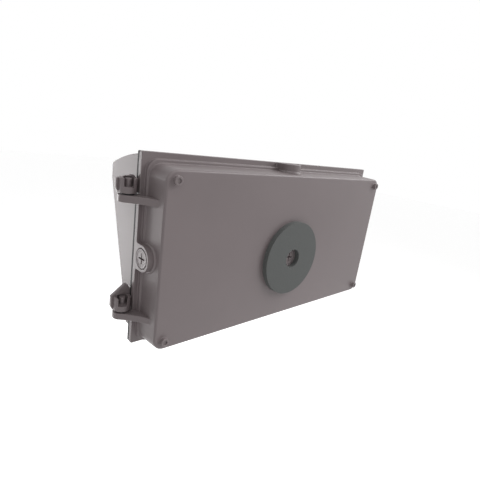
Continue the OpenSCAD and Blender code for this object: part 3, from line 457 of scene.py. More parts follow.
BOX_W = 404.0
BOX_TOP = 97.5
BOX_DEPTH = 35.2
SPREAD = 1.8
BOX_CORNER_R = 13.0
REAR_EDGE_R = 2.6
RIDGE_H = 4.3
RIDGE_SIDE = 1.5
RIDGE_RISE = 3.7
RIDGE_EDGE_R = 0.9
RIDGE_COVE_R = 0.8
FLANGE_W = 420.4
FLANGE_TOP = 109.5
FLANGE_BOTTOM = -102.4
FLANGE_FRONT = 40.9
FLANGE_EDGE_R = 0.6
FLANGE_CORNER_R = 1.5
CAVITY_W = 398.0
CAVITY_TOP = 94.5
CAVITY_CORNER_R = 10.0
WALL_T = 3.0


def box_rings():
    rings = []

    def ring(grow, depth, w=BOX_W, top=BOX_TOP, bottom=-BOX_TOP, r=BOX_CORNER_R):
        outline = round_rectangle(w + 2 * grow, top + grow, bottom - grow, r + grow)
        rings.append([wall(x, z, depth) for x, z in outline])

    for back, depth in fillet(REAR_EDGE_R, 6):
        ring(-back, depth)
    ridge_rear = BOX_DEPTH - RIDGE_H
    foot = 1.0
    foot_spread = SPREAD * (ridge_rear - foot - REAR_EDGE_R) / (BOX_DEPTH - REAR_EDGE_R)
    for grow, advance in cove(foot):
        ring(foot_spread + grow, ridge_rear - foot + advance)
    ridge = dict(
        w=BOX_W + 2 * (SPREAD + RIDGE_SIDE),
        top=BOX_TOP + SPREAD + RIDGE_RISE,
        bottom=-BOX_TOP - SPREAD - RIDGE_SIDE,
        r=BOX_CORNER_R)
    for back, advance in fillet(RIDGE_EDGE_R):
        ring(-back, ridge_rear + advance, **ridge)
    for grow, advance in cove(RIDGE_COVE_R):
        ring(grow, BOX_DEPTH - RIDGE_COVE_R + advance, **ridge)
    flange = dict(w=FLANGE_W, top=FLANGE_TOP, bottom=FLANGE_BOTTOM, r=FLANGE_CORNER_R)
    for back, advance in fillet(FLANGE_EDGE_R):
        ring(-back, BOX_DEPTH + advance, **flange)
    for back, advance in reversed(fillet(FLANGE_EDGE_R)):
        ring(-back, FLANGE_FRONT - advance, **flange)
    cavity = dict(w=CAVITY_W, top=CAVITY_TOP, bottom=-CAVITY_TOP, r=CAVITY_CORNER_R)
    mouth_r = 0.5
    for grow, advance in reversed(cove(mouth_r)):
        ring(mouth_r - grow, FLANGE_FRONT - mouth_r + advance, **cavity)
    floor_r = 2.0
    for back, advance in reversed(fillet(floor_r)):
        ring(-back, WALL_T + advance, **cavity)
    return rings


def post(x, z, low, high, r, edge=0.5, foot=1.0):
    """Round boss on a face at the depth low, with a cove at its foot and a rounded top."""
    step = 1 if high > low else -1
    profile = [(r + foot, low - step * OVER)]
    profile += [(r + grow, low + step * (rise - SINK)) for grow, rise in fillet(foot)]
    profile += [(r - back, high - step * fall) for back, fall in reversed(fillet(edge))]
    return turned("post", at_wall(x, z), profile)


def bore(put, r, mouth, end, flare=0.0, count=48):
    """Drill that enters at the height mouth, with a flared edge, and stops at the height end."""
    step = 1 if end > mouth else -1
    profile = [(r + flare, mouth - step * OVER), (r, end)]
    if flare:
        profile[1:1] = [(r + flare, mouth), (r, mouth + step * flare)]
    return turned("bore", put, profile, count=count)


WALL_SCREWS = [(x, z) for x in (-190.6, 190.6) for z in (-87.0, 87.0)]
WALL_BOSS_R = 4.8
WALL_BOSS_H = 4.5
WALL_HOLE_R = 2.5
WALL_HOLE_DEEP = 1.3
TRAY_POSTS = [(x, z) for x in (-172, 172) for z in (-74, 74)]
TRAY_POST_R = 5.0
TRAY_POST_FRONT = 34.5
TRAY_HOLE_END = 28.0
GEAR_PLACES = [(-158, -55.5), (-26, -55.5), (-125, 52), (-59, 52), (46, 52), (98, 52)]
GEAR_BOSS_R = 4.5
GEAR_BOSS_FRONT = WALL_T + 5
GROUND_PLACE = (40, -20)
GROUND_BOSS_FRONT = WALL_T + 6
GROUND_HOLE_R = 2.1
SMALL_HOLE_R = 1.6
REAR_ENTRY_Z = -13.6
REAR_ENTRY_FRONT = WALL_T + 6
ENTRY_DEPTH = 23.7
ENTRY_R = 11.1
ENTRY_BOSS_R = 14.35
ENTRY_BLEND_R = 2.5
ENTRY_REACH = BOX_DEPTH - ENTRY_DEPTH
SIDE_ENTRY_Z = 1.7
SIDES = {
    "hinge": placer((0, REAR_Y - ENTRY_DEPTH, SIDE_ENTRY_Z), (0, 1, 0), (0, 0, 1), (1, 0, 0)),
    "latch": placer((0, REAR_Y - ENTRY_DEPTH, SIDE_ENTRY_Z), (0, 1, 0), (0, 0, 1), (-1, 0, 0)),
}
TOP = placer((0, REAR_Y - ENTRY_DEPTH, 0), (0, 1, 0), (1, 0, 0), (0, 0, 1))
REAR = placer((0, REAR_Y, REAR_ENTRY_Z), (1, 0, 0), (0, 0, 1), (0, 1, 0))
PLAN = placer((0, REAR_Y, 0), (1, 0, 0), (0, -1, 0), (0, 0, 1))
HINGE_X = 219.6
HINGE_DEPTH = 42.0
HINGE = placer((HINGE_X, REAR_Y - HINGE_DEPTH, 0), (1, 0, 0), (0, -1, 0), (0, 0, 1))
KNUCKLE_R = 9.0
KNUCKLE_H = 15.3
PIN_R = 3.4
EAR_T = 6.2
EAR_START = 8.2
EAR_BOTTOMS = (59.3, -68.4)
EAR_SINKS = (1.2, 0.9)
EAR_GROWTH = 0.4
EAR_R = KNUCKLE_R + EAR_GROWTH
LATCH_X = -219.6
LATCH_Z = {"upper": 72.0, "lower": -56.0}
LUG_R = 7.5
LUG_WEB = 9.0
LUG_L = 19.0
THREAD_R = 2.4
THREAD_HOLE_R = THREAD_R + 0.3


def entry_outline(back):
    """Boss of a conduit entry, with straight flanks that run into the back of the flange."""
    middle = ENTRY_BLEND_R - ENTRY_REACH
    aside = ENTRY_BOSS_R + ENTRY_BLEND_R
    foot = -ENTRY_REACH - 2 * OVER
    points = arc(middle, -aside, ENTRY_BLEND_R + back, 180, 90, 6)
    points += arc(0, 0, ENTRY_BOSS_R - back, -90, 90, 32)
    points += arc(middle, aside, ENTRY_BLEND_R + back, -90, -180, 6)
    return points + [(foot, aside), (foot, -aside)]


def conduit_entry(put, root, face, wall_face, ridge_face):
    """Boss that ends flush with the flange, and the soft collar round its foot."""
    boss = prism("entry", [], put, root, face, FLANGE_EDGE_R, 0.0,
                 inset_by=lambda _, back: entry_outline(back))
    # Growth past the boss, and height as a share of the way from the wall to the ridge
    collar = ((2.8, -0.8), (2.4, -0.1), (2.0, 0.2), (1.7, 0.4), (1.3, 0.52),
              (0.9, 0.56), (0.4, 0.56))
    rings = []
    for grow, share in collar:
        height = wall_face + share * (ridge_face - wall_face)
        rings.append([put(max(p, -ENTRY_REACH - OVER), q, height)
                      for p, q in circle(ENTRY_BOSS_R + grow, count=96)])
    return [boss, loft("collar", rings)]


def ear_outline():
    """Flat fin from the side of the box to the hinge line, as (x, depth)."""
    lean, inner_end = -42, 186
    start = (BOX_W / 2, EAR_START)
    middle = HINGE_X + EAR_GROWTH
    end = (middle + EAR_R * math.cos(math.radians(lean)),
           HINGE_DEPTH + EAR_R * math.sin(math.radians(lean)))
    dip = (1.6, -1.6)
    root = BOX_W / 2 - WALL_T / 2
    edge = []
    steps = 12
    for i in range(steps + 1):
        s = i / steps
        bow = 4 * s * (1 - s)
        edge.append((start[0] + (end[0] - start[0]) * s - dip[0] * bow,
                     start[1] + (end[1] - start[1]) * s - dip[1] * bow))
    around = arc(middle, HINGE_DEPTH, EAR_R, lean, inner_end, 28)[1:]
    return [(root, start[1])] + edge + around + [
        (FLANGE_W / 2 - OVER, FLANGE_FRONT - OVER), (root, FLANGE_FRONT - OVER)]


def back_box():
    box = loft("back_box", box_rings())
    joined = [post(x, z, 0, -WALL_BOSS_H, WALL_BOSS_R, 0.7, 0.9) for x, z in WALL_SCREWS]
    joined += [post(x, z, WALL_T, TRAY_POST_FRONT, TRAY_POST_R) for x, z in TRAY_POSTS]
    joined += [post(x, z, WALL_T, GEAR_BOSS_FRONT, GEAR_BOSS_R) for x, z in GEAR_PLACES]
    joined.append(post(*GROUND_PLACE, WALL_T, GROUND_BOSS_FRONT, GEAR_BOSS_R))
    joined.append(post(0, REAR_ENTRY_Z, WALL_T, REAR_ENTRY_FRONT, ENTRY_BOSS_R, 0.8, 1.5))
    half_wall = WALL_T / 2
    side_wall = BOX_W / 2 + SPREAD * ENTRY_DEPTH / BOX_DEPTH
    side_ridge = BOX_W / 2 + SPREAD + RIDGE_SIDE
    for put in SIDES.values():
        joined += conduit_entry(put, BOX_W / 2 - half_wall, FLANGE_W / 2, side_wall, side_ridge)
    top_wall = side_wall - BOX_W / 2 + BOX_TOP
    joined += conduit_entry(TOP, BOX_TOP - half_wall, FLANGE_TOP, top_wall,
                            BOX_TOP + SPREAD + RIDGE_RISE)
    for bottom, sink in zip(EAR_BOTTOMS, EAR_SINKS):
        joined.append(prism("ear", ear_outline(), PLAN, bottom - sink, bottom + EAR_T, 0.8))
    lug_low = FLANGE_FRONT - LUG_L
    for z in LATCH_Z.values():
        joined.append(prism("lug", circle(LUG_R), at_wall(LATCH_X, z), lug_low, FLANGE_FRONT, 0.8))
        web = box_outline(LATCH_X, -BOX_W / 2 + half_wall, z - LUG_WEB / 2, z + LUG_WEB / 2)
        joined.append(prism("web", web, wall, lug_low, FLANGE_FRONT, 0.8))
    carve(box, joined, "UNION")

    # A thin web closes each wall screw hole near its mouth until the light is put up
    drills = [bore(at_wall(x, z), WALL_HOLE_R, -WALL_BOSS_H, -WALL_BOSS_H + WALL_HOLE_DEEP, 0.4)
              for x, z in WALL_SCREWS]
    drills += [bore(at_wall(x, z), SMALL_HOLE_R, TRAY_POST_FRONT, TRAY_HOLE_END, 0.3, 24)
               for x, z in TRAY_POSTS]
    drills += [bore(at_wall(x, z), SMALL_HOLE_R, GEAR_BOSS_FRONT, WALL_T, 0.3, 24)
               for x, z in GEAR_PLACES]
    drills.append(bore(at_wall(*GROUND_PLACE), GROUND_HOLE_R, GROUND_BOSS_FRONT, WALL_T, 0.3, 24))
    drills.append(bore(at_wall(0, REAR_ENTRY_Z), ENTRY_R, 0, REAR_ENTRY_FRONT + OVER, 0.3))
    drills += [bore(put, ENTRY_R, FLANGE_W / 2, BOX_W / 2 - WALL_T - OVER, 0.5)
               for put in SIDES.values()]
    drills.append(bore(TOP, ENTRY_R, FLANGE_TOP, BOX_TOP - WALL_T - OVER, 0.5))
    drills += [bore(HINGE, PIN_R + 0.03, z - sink, z + EAR_T + OVER, 0.3)
               for z, sink in zip(EAR_BOTTOMS, EAR_SINKS)]
    thread_end = FLANGE_FRONT - 13
    drills += [bore(at_wall(LATCH_X, z), THREAD_HOLE_R, FLANGE_FRONT, thread_end, 0.4)
               for z in LATCH_Z.values()]
    carve(box, drills)
    return finish_piece(box, "housing", BRONZE, "back_box")


back_box()


# Door: lofted across its width through its side outline, then hollowed and cut open

DOOR_HALF = 206.8
DOOR_TOP = 106.0
DOOR_BOTTOM = -104.1
DOOR_WALL = 3.0
DOOR_EDGE_R = 1.5
RIM_REAR = 44.2
RIM_FRONT = 48.5
RIM_EDGE = 0.6
LIP_T = 2.5
MOUTH_W = 396.0
MOUTH_TOP = 93.5
TOP_R = 228.0
TOP_START, TOP_END = 7.5, 22.8
NOSE_R = 3.5
BROW_H = 15.0
BEND_R = 12.0
FOOT = (RIM_FRONT + 8.7, DOOR_BOTTOM + 17.1)
FOOT_R = 3.5
FOOT_COVE = 2.0


def aim(angle):
    """Direction as (depth, z) at an angle in degrees from upright, towards the front."""
    return math.sin(math.radians(angle)), math.cos(math.radians(angle))


TOP_MIDDLE = (RIM_FRONT - TOP_R * aim(TOP_START)[0], DOOR_TOP - TOP_R * aim(TOP_START)[1])
NOSE = tuple(m + (TOP_R - NOSE_R) * a for m, a in zip(TOP_MIDDLE, aim(TOP_END)))
BROW = (NOSE[0] + NOSE_R, NOSE[1] - BROW_H)
SLOPE_L = math.hypot(BROW[0] - FOOT[0], BROW[1] - FOOT[1])
SLOPE_ANGLE = math.degrees(math.atan2(BROW[1] - FOOT[1], FOOT[0] - BROW[0]))
SLOPE_SIN, SLOPE_COS = aim(SLOPE_ANGLE)
SIDE = placer((0, REAR_Y, 0), (0, -1, 0), (0, 0, 1), (1, 0, 0))
SLOPE = placer((0, REAR_Y - FOOT[0], FOOT[1]), (1, 0, 0),
               (0, SLOPE_COS, SLOPE_SIN), (0, -SLOPE_SIN, SLOPE_COS))
WINDOW_W = 344.0
WINDOW_LOW = 22.0
WINDOW_H = SLOPE_L - WINDOW_LOW - 20.0
WINDOW_MID = WINDOW_LOW + WINDOW_H / 2
WINDOW_R = 8.0
WINDOW_EDGE_R = 1.0
LENS_LAP = 7.0
LENS_PLAY = 0.3
LENS_BACK = 8.5
LENS_T = 4.0
CLIP_XS = (-123.84, 0.0, 123.84)
CLIP_RISE = WINDOW_H / 2 + LENS_LAP + 4.4
DOOR_LUG_FRONT = RIM_REAR + 14
NECK_R = 1.9
NECK_HOLE_R = 2.15


def on_slope(x, b):
    """Placer round a point of the slanted front, with its height out of the slope."""
    middle = SLOPE(x, b, 0) / MM
    return placer(middle, (1, 0, 0), (0, SLOPE_COS, SLOPE_SIN), (0, -SLOPE_SIN, SLOPE_COS))


def bend(at, r, start, end, back, steps):
    """Points that round the corner between two faces, given by the aims of the faces."""
    (ax, az), (bx, bz) = aim(start), aim(end)
    pull = r / (1 + ax * bx + az * bz)
    return arc(at[0] - (ax + bx) * pull, at[1] - (az + bz) * pull, r - back,
               90 - start, 90 - end, steps)


def door_outline(back, rear):
    """Side outline of the door, moved inwards, as (depth, z) from the rear of the top round."""
    points = [(rear, DOOR_TOP - back)]
    points += arc(*TOP_MIDDLE, TOP_R - back, 90 - TOP_START, 90 - TOP_END, 10)
    points += arc(*NOSE, NOSE_R - back, 90 - TOP_END, 0, 6)[1:]
    points += bend(BROW, BEND_R, 90, SLOPE_ANGLE, back, 5)
    points += bend(FOOT, FOOT_R, SLOPE_ANGLE, 180, back, 6)
    points += arc(RIM_FRONT + FOOT_COVE, FOOT[1] - FOOT_COVE, FOOT_COVE + back, 90, 180, 4)
    front, low = RIM_FRONT - back, DOOR_BOTTOM + back
    return points + [(front, low + RIM_EDGE), (front - RIM_EDGE, low), (rear, low)]


def rounding(r, advance):
    """How far an edge rounded with r lies back at a distance from its face."""
    return r - math.sqrt(r * r - (r - min(advance, r)) ** 2)


def door_solid(name, half, back, rear, edge_r, rim_r):
    """Solid over the width of the door, with its side edges and the edge of its rim rounded."""
    latch_half, hinge_half = [], []
    for advance in (0, 0.05, 0.2, 0.5, 0.9, 1.5):
        outline = door_outline(back + rounding(edge_r, advance), rear + rounding(rim_r, advance))
        latch_half.append([SIDE(depth, z, advance - half) for depth, z in outline])
        hinge_half.append([SIDE(depth, z, half - advance) for depth, z in outline])
    return loft(name, latch_half + hinge_half[::-1])


# The slots in the knuckles, as the photograph shows them, are turned towards the side
SLOT_TURN = math.radians(20)
SLOT = placer((HINGE_X, REAR_Y - HINGE_DEPTH, 0), (math.cos(SLOT_TURN), -math.sin(SLOT_TURN), 0),
              (math.sin(SLOT_TURN), math.cos(SLOT_TURN), 0), (0, 0, 1))
# For each hinge: the bottom of the knuckle, the heights over its top of the plate's shoulder
# and peak, how far the peak lies inside the hinge line, and the fall from there to the door
HINGE_SHAPES = ((67.0, -1.0, 2.6, 5.5, 7.0), (-60.7, 0.4, 12.2, 4.4, 13.0))
SLOT_FLOOR_H = 6.5
SLOT_W = 11.0
BLOCK_L = 4.45
PLATE_T = 4.5
PLATE_TIP = 11.4


def hinge_knuckle(bottom, shoulder, peak, back, fall):
    """Plate and knuckle of one hinge, and the cutters for its pin and its slot."""
    tip = HINGE_X + PLATE_TIP
    top = bottom + KNUCKLE_H
    root = DOOR_HALF - DOOR_WALL / 2
    outline = [(root, bottom), (tip - 2.25, bottom), (tip, bottom + 4.5), (tip, top + shoulder)]
    peak_r = 3
    outline += arc(HINGE_X - back, top + peak - peak_r, peak_r, 50, 145, 7)
    outline.append((root, top + peak - fall))
    plate = prism("plate", outline, wall, RIM_REAR, RIM_REAR + PLATE_T, 0.9)
    barrel = prism("barrel", circle(KNUCKLE_R, HINGE_X, HINGE_DEPTH), PLAN, bottom, top, 0.7)
    block = box_outline(HINGE_X - KNUCKLE_R, HINGE_X + KNUCKLE_R,
                        HINGE_DEPTH, HINGE_DEPTH + BLOCK_L)
    block = prism("block", block, PLAN, bottom, top, 0.7)
    pin = bore(HINGE, PIN_R + 0.08, bottom, top + OVER, 0.3)
    slot = round_rectangle(SLOT_W, KNUCKLE_R + OVER, -SLOT_W / 2, SLOT_W / 2 - 0.1)
    slot = prism("slot", slot, SLOT, bottom + SLOT_FLOOR_H, top + OVER, 0.0, 0.5)
    return [plate, barrel, block], [pin, slot]


def door_shell():
    shell = door_solid("door_shell", DOOR_HALF, 0.0, RIM_REAR, DOOR_EDGE_R, 0.6)
    inside = door_solid("inside", DOOR_HALF - DOOR_WALL, DOOR_WALL, RIM_REAR + LIP_T, 0.05, 0.05)
    mouth = round_rectangle(MOUTH_W, MOUTH_TOP, -MOUTH_TOP, CAVITY_CORNER_R)
    mouth = prism("mouth", mouth, wall, RIM_REAR - OVER, RIM_REAR + LIP_T + OVER)
    opening = round_rectangle(WINDOW_W, WINDOW_H / 2, -WINDOW_H / 2, WINDOW_R)
    edges = [(0, -DOOR_WALL - OVER)]
    edges += [(out, -deep) for out, deep in reversed(fillet(WINDOW_EDGE_R))]
    edges.append((WINDOW_EDGE_R, OVER))
    put = on_slope(0, WINDOW_MID)
    window = loft("window", [[put(x, b, c) for x, b in inset(opening, -out)] for out, c in edges])
    carve(shell, [inside, mouth, window])

    joined, drills = [], []
    for x in CLIP_XS:
        for side in (-1, 1):
            put = on_slope(x, WINDOW_MID + side * CLIP_RISE)
            profile = [(5.0, -DOOR_WALL / 2), (5.0, -DOOR_WALL - SINK), (4.0, -DOOR_WALL - 0.4),
                       (3.6, -DOOR_WALL - 1.2), (3.6, -LENS_BACK)]
            joined.append(turned("clip_boss", put, profile, count=32))
            drills.append(bore(put, SMALL_HOLE_R, -LENS_BACK, -DOOR_WALL, 0.3, 24))
    for shape in HINGE_SHAPES:
        solids, cutters = hinge_knuckle(*shape)
        joined += solids
        drills += cutters
    for z in LATCH_Z.values():
        put = at_wall(LATCH_X, z)
        joined.append(prism("lug", circle(LUG_R), put, RIM_REAR, DOOR_LUG_FRONT, 0.9, 0.4))
        web = box_outline(LATCH_X, -DOOR_HALF + DOOR_WALL / 2, z - LUG_WEB / 2, z + LUG_WEB / 2)
        joined.append(prism("web", web, wall, RIM_REAR, RIM_REAR + 6, 0.8, 0.4))
        drills.append(bore(put, NECK_HOLE_R, DOOR_LUG_FRONT, RIM_REAR - OVER, 0.3))
        drills.append(bore(put, THREAD_HOLE_R, RIM_REAR, DOOR_LUG_FRONT - 5))
    carve(shell, joined, "UNION")
    carve(shell, drills)
    return finish_piece(shell, "door", BRONZE, "door_shell")


door_shell()


# Gaskets, plugs, pins and screws

def band(name, outline, put, low, high, outer, inner, edge):
    """Closed band along an outline, between two insets of it, with its edges rounded."""
    corners = fillet(edge, 3)
    run = [(outer + back, low + rise) for back, rise in corners]
    run += [(outer + back, high - fall) for back, fall in reversed(corners)]
    run += [(inner - back, high - fall) for back, fall in corners]
    run += [(inner - back, low + rise) for back, rise in reversed(corners)]
    return loft(name, [[put(x, z, c) for x, z in inset(outline, i)] for i, c in run], True)


FOAM_R = 50.6
FOAM_HOLE_R = 12.8
FOAM_T = 6.8
LENS_GASKET_T = 1.5
LENS_GASKET_W = 5.7


def gaskets():
    foam = turned("wall_gasket", at_wall(0, REAR_ENTRY_Z), [
        (FOAM_R - 0.5, -FOAM_T), (FOAM_R - 0.15, 0.15 - FOAM_T), (FOAM_R, 0.5 - FOAM_T),
        (FOAM_R, 0), (FOAM_HOLE_R, 0), (FOAM_HOLE_R, 0.5 - FOAM_T),
        (FOAM_HOLE_R + 0.15, 0.15 - FOAM_T), (FOAM_HOLE_R + 0.5, -FOAM_T)],
        looped=True, count=128)
    finish_piece(foam, "housing", FOAM, "wall_gasket")
    back = 0.2
    outline = round_rectangle(FLANGE_W - 2 * back, FLANGE_TOP - back, FLANGE_BOTTOM + back, 1.2)
    seal = prism("door_gasket", outline, wall, FLANGE_FRONT + 0.3, RIM_REAR, 0.4)
    clear = 1.2
    hole = round_rectangle(CAVITY_W + 2 * clear, CAVITY_TOP + clear, -CAVITY_TOP - clear,
                           CAVITY_CORNER_R + clear)
    carve(seal, [prism("hole", hole, wall, FLANGE_FRONT - OVER, RIM_REAR + OVER)])
    finish_piece(seal, "door", SILICONE, "door_gasket")
    span = 2 * (LENS_LAP - LENS_PLAY)
    outline = round_rectangle(WINDOW_W + span, (WINDOW_H + span) / 2, -(WINDOW_H + span) / 2,
                              WINDOW_R)
    low = -DOOR_WALL - LENS_GASKET_T
    ring = band("lens_gasket", outline, on_slope(0, WINDOW_MID), low, -DOOR_WALL,
                0, LENS_GASKET_W, 0.3)
    finish_piece(ring, "door", SILICONE, "lens_gasket")


def cross(put, face, arm, width, deep, lean=0.0):
    """Cutter for a cross recess that narrows downwards from a face, turned by an angle."""
    half = width / 2
    corner = [(arm, half), (half, half), (half, arm)]
    quarters = [corner, [(-p, q) for p, q in corner[::-1]], [(-p, -q) for p, q in corner],
                [(p, -q) for p, q in corner[::-1]]]
    aside, along = aim(lean)
    outline = [(p * along - q * aside, p * aside + q * along)
               for quarter in quarters for p, q in quarter]
    rings = [(0, OVER), (0, -deep / 2), (half / 3, -deep)]
    return loft("cross", [[put(p, q, face + c) for p, q in inset(outline, i)] for i, c in rings])


PLUG_LEAN = 4.0
PLUG_DISH = 0.35
THREAD_PITCH = 1.4


def plug(put, face):
    """Threaded conduit plug with a slightly dished face and a cross recess."""
    profile = [(9.9, face - 9.0), (11.0, face - 8.4)]
    for turn in range(4):
        top = face - 7.8 + turn * THREAD_PITCH
        profile += [(11.0, top), (10.5, top + THREAD_PITCH / 4), (11.0, top + THREAD_PITCH / 2)]
    profile += [(10.4, face - 2.2), (10.4, face - 0.45), (10.3, face - 0.12), (10.0, face),
                (9.3, face), (8.9, face - 0.12), (8.5, face - 0.3), (8.0, face - PLUG_DISH)]
    disc = turned("plug", put, profile, count=64)
    return carve(disc, [cross(put, face - PLUG_DISH, 5.8, 1.8, 3.0, PLUG_LEAN)])


def screw(put, face, head_r, head_h, shank_r, shank_l, arm, width, deep):
    """Pan-head screw with its seat at the height face, and its head above it."""
    profile = [(shank_r - 0.5, face - shank_l), (shank_r, face - shank_l + 0.5),
               (shank_r, face), (head_r * 0.97, face), (head_r, face + head_h * 0.12)]
    profile += [(head_r * math.cos(math.radians(a)) ** 0.7,
                 face + head_h * (0.3 + 0.7 * math.sin(math.radians(a))))
                for a in (0, 18, 34, 50, 64, 76, 84)]
    head = turned("screw", put, profile, count=36)
    return carve(head, [cross(put, face + head_h, arm, width, deep)])


def small_screw(put, face, shank_l):
    return screw(put, face, 3.0, 1.9, 1.5, shank_l, 1.9, 0.7, 1.0)


def small_screws(name, places, face, shank_l):
    screws = [small_screw(at_wall(x, z), face, shank_l) for x, z in places]
    finish_piece(gather(name, screws), "housing", STEEL, name)


def latch_screw(name, z, body):
    """Captive screw: domed head, neck and ridged thread."""
    put = at_wall(LATCH_X, z)
    washer_t = 1.2
    head_h = 4.0
    head = DOOR_LUG_FRONT + washer_t
    shoulder = FLANGE_FRONT - 1
    end = shoulder - 8
    profile = [(1.0, end), (1.3, end + 0.1)]
    pitch = 0.8
    groove_r = NECK_R + 0.05
    for turn in range(9):
        low = end + 0.6 + turn * pitch
        profile += [(groove_r, low), (THREAD_R, low + pitch * 0.35),
                    (THREAD_R, low + pitch * 0.5), (groove_r, low + pitch * 0.85)]
    profile += [(NECK_R, shoulder), (NECK_R, head), (4.8, head), (5.0, head + 0.3),
                (5.0, head + 2.6), (4.9, head + 3.1), (4.5, head + 3.6), (3.8, head + 3.9),
                (2.9, head + head_h)]
    recess = cross(put, head + head_h, 3.6, 1.4, 2.0)
    piece = carve(turned(name, put, profile, count=48), [recess])
    finish_piece(piece, body, STEEL, name)


def fittings():
    finish_piece(plug(REAR, 0), "housing", BRONZE, "rear_conduit_plug")
    finish_piece(plug(TOP, FLANGE_TOP), "housing", BRONZE, "top_conduit_plug")
    sides = [plug(put, FLANGE_W / 2) for put in SIDES.values()]
    finish_piece(gather("side_plugs", sides), "housing", BRONZE, "side_conduit_plugs")
    ear_gap, below_top = 1.5, 0.6
    length = EAR_T + ear_gap + KNUCKLE_H - below_top
    pins = [turned("pin", HINGE, [(PIN_R - 0.4, z), (PIN_R, z + 0.4), (PIN_R, z + length - 0.7),
                                  (PIN_R - 0.2, z + length - 0.2), (PIN_R - 0.7, z + length)])
            for z in EAR_BOTTOMS]
    finish_piece(gather("pins", pins), "housing", BRONZE, "hinge_pins")
    washer = ((0.08, 0.0), (2.9, 0.0), (3.0, 0.1), (3.0, 0.8), (2.9, 0.9), (0.08, 0.9))
    washers = [turned("washer", HINGE, [(PIN_R + out, z + EAR_T + rise) for out, rise in washer],
                      looped=True) for z in EAR_BOTTOMS]
    finish_piece(gather("washers", washers), "housing", NYLON, "hinge_washers")
    for side, z in LATCH_Z.items():
        latch_screw(side + "_latch_screw", z, side + "_latch")


gaskets()
fittings()


# Light gear behind the lens

TRAY_FRONT = 36.0
BOARD_L = 300.0
BOARD_Z = 36.0
BOARD_FRONT = TRAY_FRONT + 1.6
REFLECTOR_REAR = 39.0
REFLECTOR_FRONT = 39.8
REFLECTOR_W = 392.0
REFLECTOR_TOP = 91.5
OPENING_W = 310.0
OPENING_TOP = 64.0
OPENING_R = 7.2
OPENING_EDGE_R = 0.6
LIP_WALL = 0.8
REFLECTOR_POST_R = 5.0
SCREW_WINDOW_R = 5.0
CHIPS_ALONG = 14
CHIP_ROW_Z = 11.0
CHIP_W = 5.0
CHIP_T = 0.9
CLIP_T = 1.0
RIB_PITCH = 4.0
RIB_DEEP = 0.8
REFLECTOR_POSTS = [(x, z) for x in (-179, 179) for z in (-30.6, 30.6)]


def lens():
    """Clear plate with round edges and upright ribs that spread the light on its inner face."""
    span = 2 * (LENS_LAP - LENS_PLAY)
    w, h = WINDOW_W + span, WINDOW_H + span
    put = on_slope(0, WINDOW_MID)
    plate = prism("lens", round_rectangle(w, h / 2, -h / 2, WINDOW_R), put, -LENS_BACK,
                  -LENS_BACK + LENS_T, 0.4)
    margin = 4
    half = WINDOW_W / 2 - margin
    count = round(2 * half / RIB_PITCH)
    comb = [(half, -LENS_BACK - OVER), (-half, -LENS_BACK - OVER), (-half, -LENS_BACK)]
    for i in range(count):
        left = -half + i * 2 * half / count
        comb += [(left + half / count, -LENS_BACK + RIB_DEEP),
                 (left + 2 * half / count, -LENS_BACK - 0.01)]
    ends = (-WINDOW_H / 2 + margin, WINDOW_H / 2 - margin)
    carve(plate, [loft("comb", [[put(x, b, c) for x, c in comb] for b in ends])])
    finish_piece(plate, "door", LENS_GLASS, "lens")


def lens_clips():
    clips, screws = [], []
    clip_w, clip_l, past_screw = 12, 15, 3.6
    for x in CLIP_XS:
        for side in (-1, 1):
            middle = SLOPE(x, WINDOW_MID + side * CLIP_RISE, 0) / MM
            put = placer(middle, (-side, 0, 0), (0, side * SLOPE_COS, side * SLOPE_SIN),
                         (0, SLOPE_SIN, -SLOPE_COS))
            outline = round_rectangle(clip_w, 0, -clip_l, 1.5, 4)
            outline = [(p, q + past_screw) for p, q in outline]
            clip = prism("clip", outline, put, LENS_BACK, LENS_BACK + CLIP_T, 0.25)
            hole = bore(put, SMALL_HOLE_R, LENS_BACK + CLIP_T, LENS_BACK - OVER, 0, 24)
            clips.append(carve(clip, [hole]))
            screws.append(small_screw(put, LENS_BACK + CLIP_T, 5.0))
    finish_piece(gather("lens_clips", clips), "door", STEEL, "lens_clips")
    finish_piece(gather("lens_clip_screws", screws), "door", STEEL, "lens_clip_screws")


